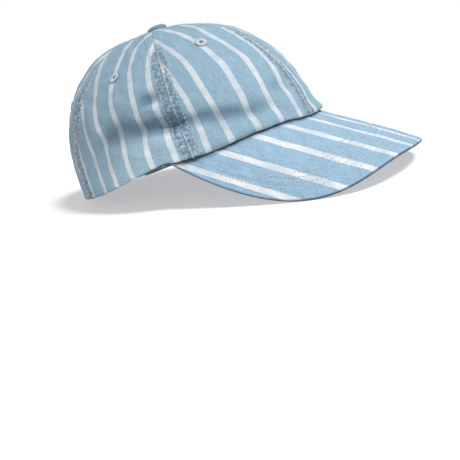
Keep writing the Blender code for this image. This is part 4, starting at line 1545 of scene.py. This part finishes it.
def peak_row(inside):
    """One row of stitches on the peak, a distance inside its outer edge."""
    outline = whole_outline(PEAK_ROW_SAMPLES)
    along = np.gradient(outline, axis=0)
    along /= np.linalg.norm(along, axis=-1, keepdims=True)
    across_fall, forward_fall = peak_slopes(outline[:, 0])
    inward = np.stack([-along[:, 1], along[:, 0]], axis=-1)
    halfway = PEAK_ROW_SAMPLES // 2
    inward *= np.sign((np.array([0, RIM_LENGTH / 2]) - outline[halfway]) @ inward[halfway])
    drop = across_fall * inward[:, 0] + forward_fall * inward[:, 1]
    across, forward = np.moveaxis(outline + inward * (inside / np.sqrt(1 + drop ** 2))[:, None], -1, 0)
    clear = np.hypot(across / (RIM_WIDTH / 2), forward / (RIM_LENGTH / 2)) > PEAK_ROW_OUTSIDE
    clear &= edge_distance(across, forward) > PEAK_ROW_INSIDE * inside
    across, forward = across[clear], forward[clear]
    from_edge = edge_distance(across, forward)
    normal = peak_normal(across)
    lift = peak_relief(across, forward, from_edge) + PEAK_ROW_LIFT
    path = peak_top(across, forward, from_edge) + normal * lift[:, None]
    return to_world(path * PEAK_AXES), to_world(normal * PEAK_AXES) - REST_PLACE


def strap_row(up):
    """A row of stitches along the strap."""
    turn = math.pi + np.linspace(-1, 1, STRAP_ROW_SAMPLES) * (strap_reach() - STRAP_ROW_END)
    climb = climb_to_rise(turn, (STRAP_LIFT + up) / CROWN_HEIGHT)
    normal = crown_normal(turn, climb)
    path = crown_base(turn, climb) - normal * (CLOTH + GAP + STRAP_ROW_LIFT)
    return to_world(path), to_world(normal) - REST_PLACE


class CAP_OT_stitches(bpy.types.Operator):
    """Makes the rows of stitches on the crown, the peak and the strap"""

    bl_idname = "peaked_cap.stitches"
    bl_label = "Stitches"

    def execute(self, context):
        chosen = settings()
        rows = [row for seam in SEAM_TURNS for row in seam_rows(seam)]
        stitch_rows("stitches_seams", rows)
        insides = [chosen.peak_first_row + i * chosen.peak_row_spacing for i in range(chosen.peak_rows)]
        stitch_rows("stitches_peak", [peak_row(inside) for inside in insides])
        rows = [strap_row(STRAP_ROW_PLACE), strap_row(STRAP_WIDTH - STRAP_ROW_PLACE)]
        stitch_rows("stitches_strap", rows)
        return {"FINISHED"}


def add_eyelet(panel):
    """A worked eyelet: a ring of close satin stitches round a hole, with a sleeve through it."""
    middle = (EYELET_WIDTH + EYELET_HOLE) / 4
    half = (EYELET_WIDTH - EYELET_HOLE) / 4
    add_ring(EYELET_RING_SEGMENTS, EYELET_WIDTH, EYELET_HOLE)
    ring = shaped((1, 1, EYELET_RISE * 0.5 / half), (0, 0, GAP + EYELET_RISE * EYELET_RING_LIFT))
    add_ball(EYELET_LOOP_SEGMENTS, 0.5)
    loop = shaped((EYELET_LOOP_REACH * half, EYELET_LOOP_WIDTH, EYELET_RISE * EYELET_LOOP_RISE),
                  (middle, 0, GAP + EYELET_RISE * 0.5), on_side=True)
    made = [ring, loop]
    for number in range(1, EYELET_LOOPS):
        copy = bpy.data.objects.new("eyelet_loop", loop.data.copy())
        bpy.context.scene.collection.objects.link(copy)
        copy.matrix_world = Matrix.Rotation(2 * math.pi * number / EYELET_LOOPS, 4, "Z")
        made.append(copy)
    add_ring(SLEEVE_SEGMENTS, EYELET_SLEEVE, EYELET_HOLE)
    made.append(shaped((1, 1, SLEEVE_STRETCH), (0, 0, -CLOTH / 2 + GAP)))
    for part in made:
        part.select_set(True)
    bpy.context.view_layer.objects.active = ring
    bpy.ops.object.join()
    ring.name = "thread_" + panel.node.replace("_panel", "_eyelet")
    ring.data.name = ring.name
    ring.matrix_world = eyelet_seat(panel)
    settle(ring)
    ring.data.materials.clear()
    ring.data.materials.append(finish_named("cap_eyelet_thread"))
    ring.data.shade_smooth()
    dress(ring, "eyelet_" + panel.node.replace("_panel", ""))


class CAP_OT_eyelets(bpy.types.Operator):
    """Makes the six stitched eyelets"""

    bl_idname = "peaked_cap.eyelets"
    bl_label = "Eyelets"

    def execute(self, context):
        for panel in PANELS:
            add_eyelet(panel)
        return {"FINISHED"}


def add_button():
    """The covered button on the top, where the six panels meet."""
    low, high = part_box("top_button")
    radius = BUTTON_WIDTH / 2
    add_ball(BUTTON_SEGMENTS, radius)
    button = bpy.context.object
    button.name = "cloth_top_button"
    button.data.name = button.name
    points = np.array([vert.co[:] for vert in button.data.vertices])
    height = points[:, 2] / radius
    angle = np.arctan2(points[:, 1], points[:, 0])
    spread = np.sqrt(np.clip(1 - height ** 2, 0, 1))
    above, below = spread ** BUTTON_FULLNESS_ABOVE, spread ** BUTTON_FULLNESS_BELOW
    gathered = bell(height + BUTTON_GATHER_DROP, BUTTON_GATHER_SPREAD)
    gather = BUTTON_GATHER * np.cos(BUTTON_GATHERS * angle) * gathered
    scale = (np.where(height > 0, above, below) + gather) / np.maximum(spread, BUTTON_AXIS)
    points[:, :2] *= np.where(spread > BUTTON_AXIS, scale, 0)[:, None]
    points[:, 2] = height * BUTTON_HALF_HEIGHT
    button.data.vertices.foreach_set("co", points.astype(np.float32).ravel())
    button.data.update()
    seat = Vector(to_world(np.array([BUTTON_ASIDE, -BUTTON_FORWARD - BUTTON_AHEAD, 0])))
    tip = Matrix.Rotation(-REST_TIP, 4, "X")
    up = tip @ Vector((0, 0, 1))
    crest = Vector(((low.x + high.x) / 2, (low.y + high.y) / 2, high.z))
    along = (crest - seat).dot(up) - BUTTON_HALF_HEIGHT - BUTTON_SINK
    button.matrix_world = Matrix.Translation(seat + up * along) @ tip
    settle(button)
    button.data.materials.append(finish_named("cap_button_twill"))
    button.data.shade_smooth()
    dress(button, "top_button")


class CAP_OT_button(bpy.types.Operator):
    """Makes the covered button on the top"""

    bl_idname = "peaked_cap.button"
    bl_label = "Button"

    def execute(self, context):
        add_button()
        return {"FINISHED"}


def add_camera():
    """The camera where the photograph was taken from, leaning as it leaned."""
    data = bpy.data.cameras.new("camera")
    data.lens = LENS
    data.sensor_width = SENSOR
    camera = bpy.data.objects.new("camera", data)
    bpy.context.scene.collection.objects.link(camera)
    back = -LOOK.normalized()
    right = LEAN_RIGHT.normalized()
    up = back.cross(right)
    turned = Matrix((right, up, back)).transposed().to_4x4()
    camera.matrix_world = Matrix.Translation(EYE) @ turned
    data.clip_start = CLIP_START
    data.clip_end = CLIP_END
    bpy.context.scene.camera = camera


def add_sun(name, direction, strength, softness):
    """A soft light from far off, from a direction."""
    data = bpy.data.lights.new(name, "SUN")
    data.energy = strength
    data.angle = softness
    light = bpy.data.objects.new(name, data)
    light.rotation_mode = "QUATERNION"
    light.rotation_quaternion = Vector(direction).to_track_quat("Z", "Y")
    bpy.context.scene.collection.objects.link(light)


def add_sky(strength):
    """Soft light from all round, brightest low down, where it is the backdrop."""
    world = bpy.data.worlds.new("studio")
    bpy.context.scene.world = world
    world.use_nodes = True
    tree = world.node_tree
    place = add_node(tree, "ShaderNodeTexCoord").outputs["Generated"]
    height = add_node(tree, "ShaderNodeSeparateXYZ", {0: place}).outputs[2]
    shade = ease(tree, height, *BACKDROP_HEIGHTS, 1.0, strength)
    feed(tree, tree.nodes["Background"], {"Color": WHITE, "Strength": shade})


class CAP_OT_stage(bpy.types.Operator):
    """Makes the pale floor, the soft light and the camera"""

    bl_idname = "peaked_cap.stage"
    bl_label = "Stage"

    def execute(self, context):
        chosen = settings()
        deselect_all()
        bpy.ops.mesh.primitive_circle_add(vertices=FLOOR_SIDES, radius=FLOOR_RADIUS, fill_type="NGON")
        floor = context.object
        floor.name = "floor"
        finish, tree, shader = new_finish("stage_paper")
        place = add_node(tree, "ShaderNodeTexCoord").outputs["Object"]
        # The floor gives off some light, so that it is white and the cap's shadow on it stays pale
        tone = blend_of(tree, noise_of(tree, place, PAPER), *FLOOR_TONES)
        feed(tree, shader, {"Base Color": tone, "Emission Strength": chosen.floor_glow, **FLOOR_SHINE})
        floor.data.materials.append(finish)
        add_sky(chosen.sky_strength)
        add_sun("key", KEY_FROM, chosen.key_strength, KEY_SOFTNESS)
        add_sun("side", SIDE_FROM, chosen.side_strength, SIDE_SOFTNESS)
        add_camera()
        context.scene.view_settings.view_transform = "Standard"
        return {"FINISHED"}


STEPS = ("panels", "peak", "strap", "tapes", "stitches", "eyelets", "button", "stage")


class CAP_PT_sidebar(bpy.types.Panel):
    """Lists the steps of the cap"""

    bl_idname = "CAP_PT_sidebar"
    bl_label = "Peaked Cap"
    bl_space_type = "VIEW_3D"
    bl_region_type = "UI"
    bl_category = "Peaked Cap"

    def draw(self, context):
        for name in CapSettings.__annotations__:
            self.layout.prop(context.scene.peaked_cap, name)
        for step in STEPS:
            self.layout.operator("peaked_cap." + step)


CLASSES = (CapSettings, CAP_OT_panels, CAP_OT_peak, CAP_OT_strap, CAP_OT_tapes, CAP_OT_stitches,
           CAP_OT_eyelets, CAP_OT_button, CAP_OT_stage, CAP_PT_sidebar)


def register():
    """Adds the classes and the cap's settings to Blender."""
    for item in CLASSES:
        bpy.utils.register_class(item)
    bpy.types.Scene.peaked_cap = bpy.props.PointerProperty(type=CapSettings)


def unregister():
    """Takes the settings and the classes away again."""
    del bpy.types.Scene.peaked_cap
    for item in reversed(CLASSES):
        bpy.utils.unregister_class(item)


def main():
    """Builds the whole cap and its stage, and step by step."""
    register()
    for step in STEPS:
        getattr(bpy.ops.peaked_cap, step)()


if __name__ == "__main__":
    main()
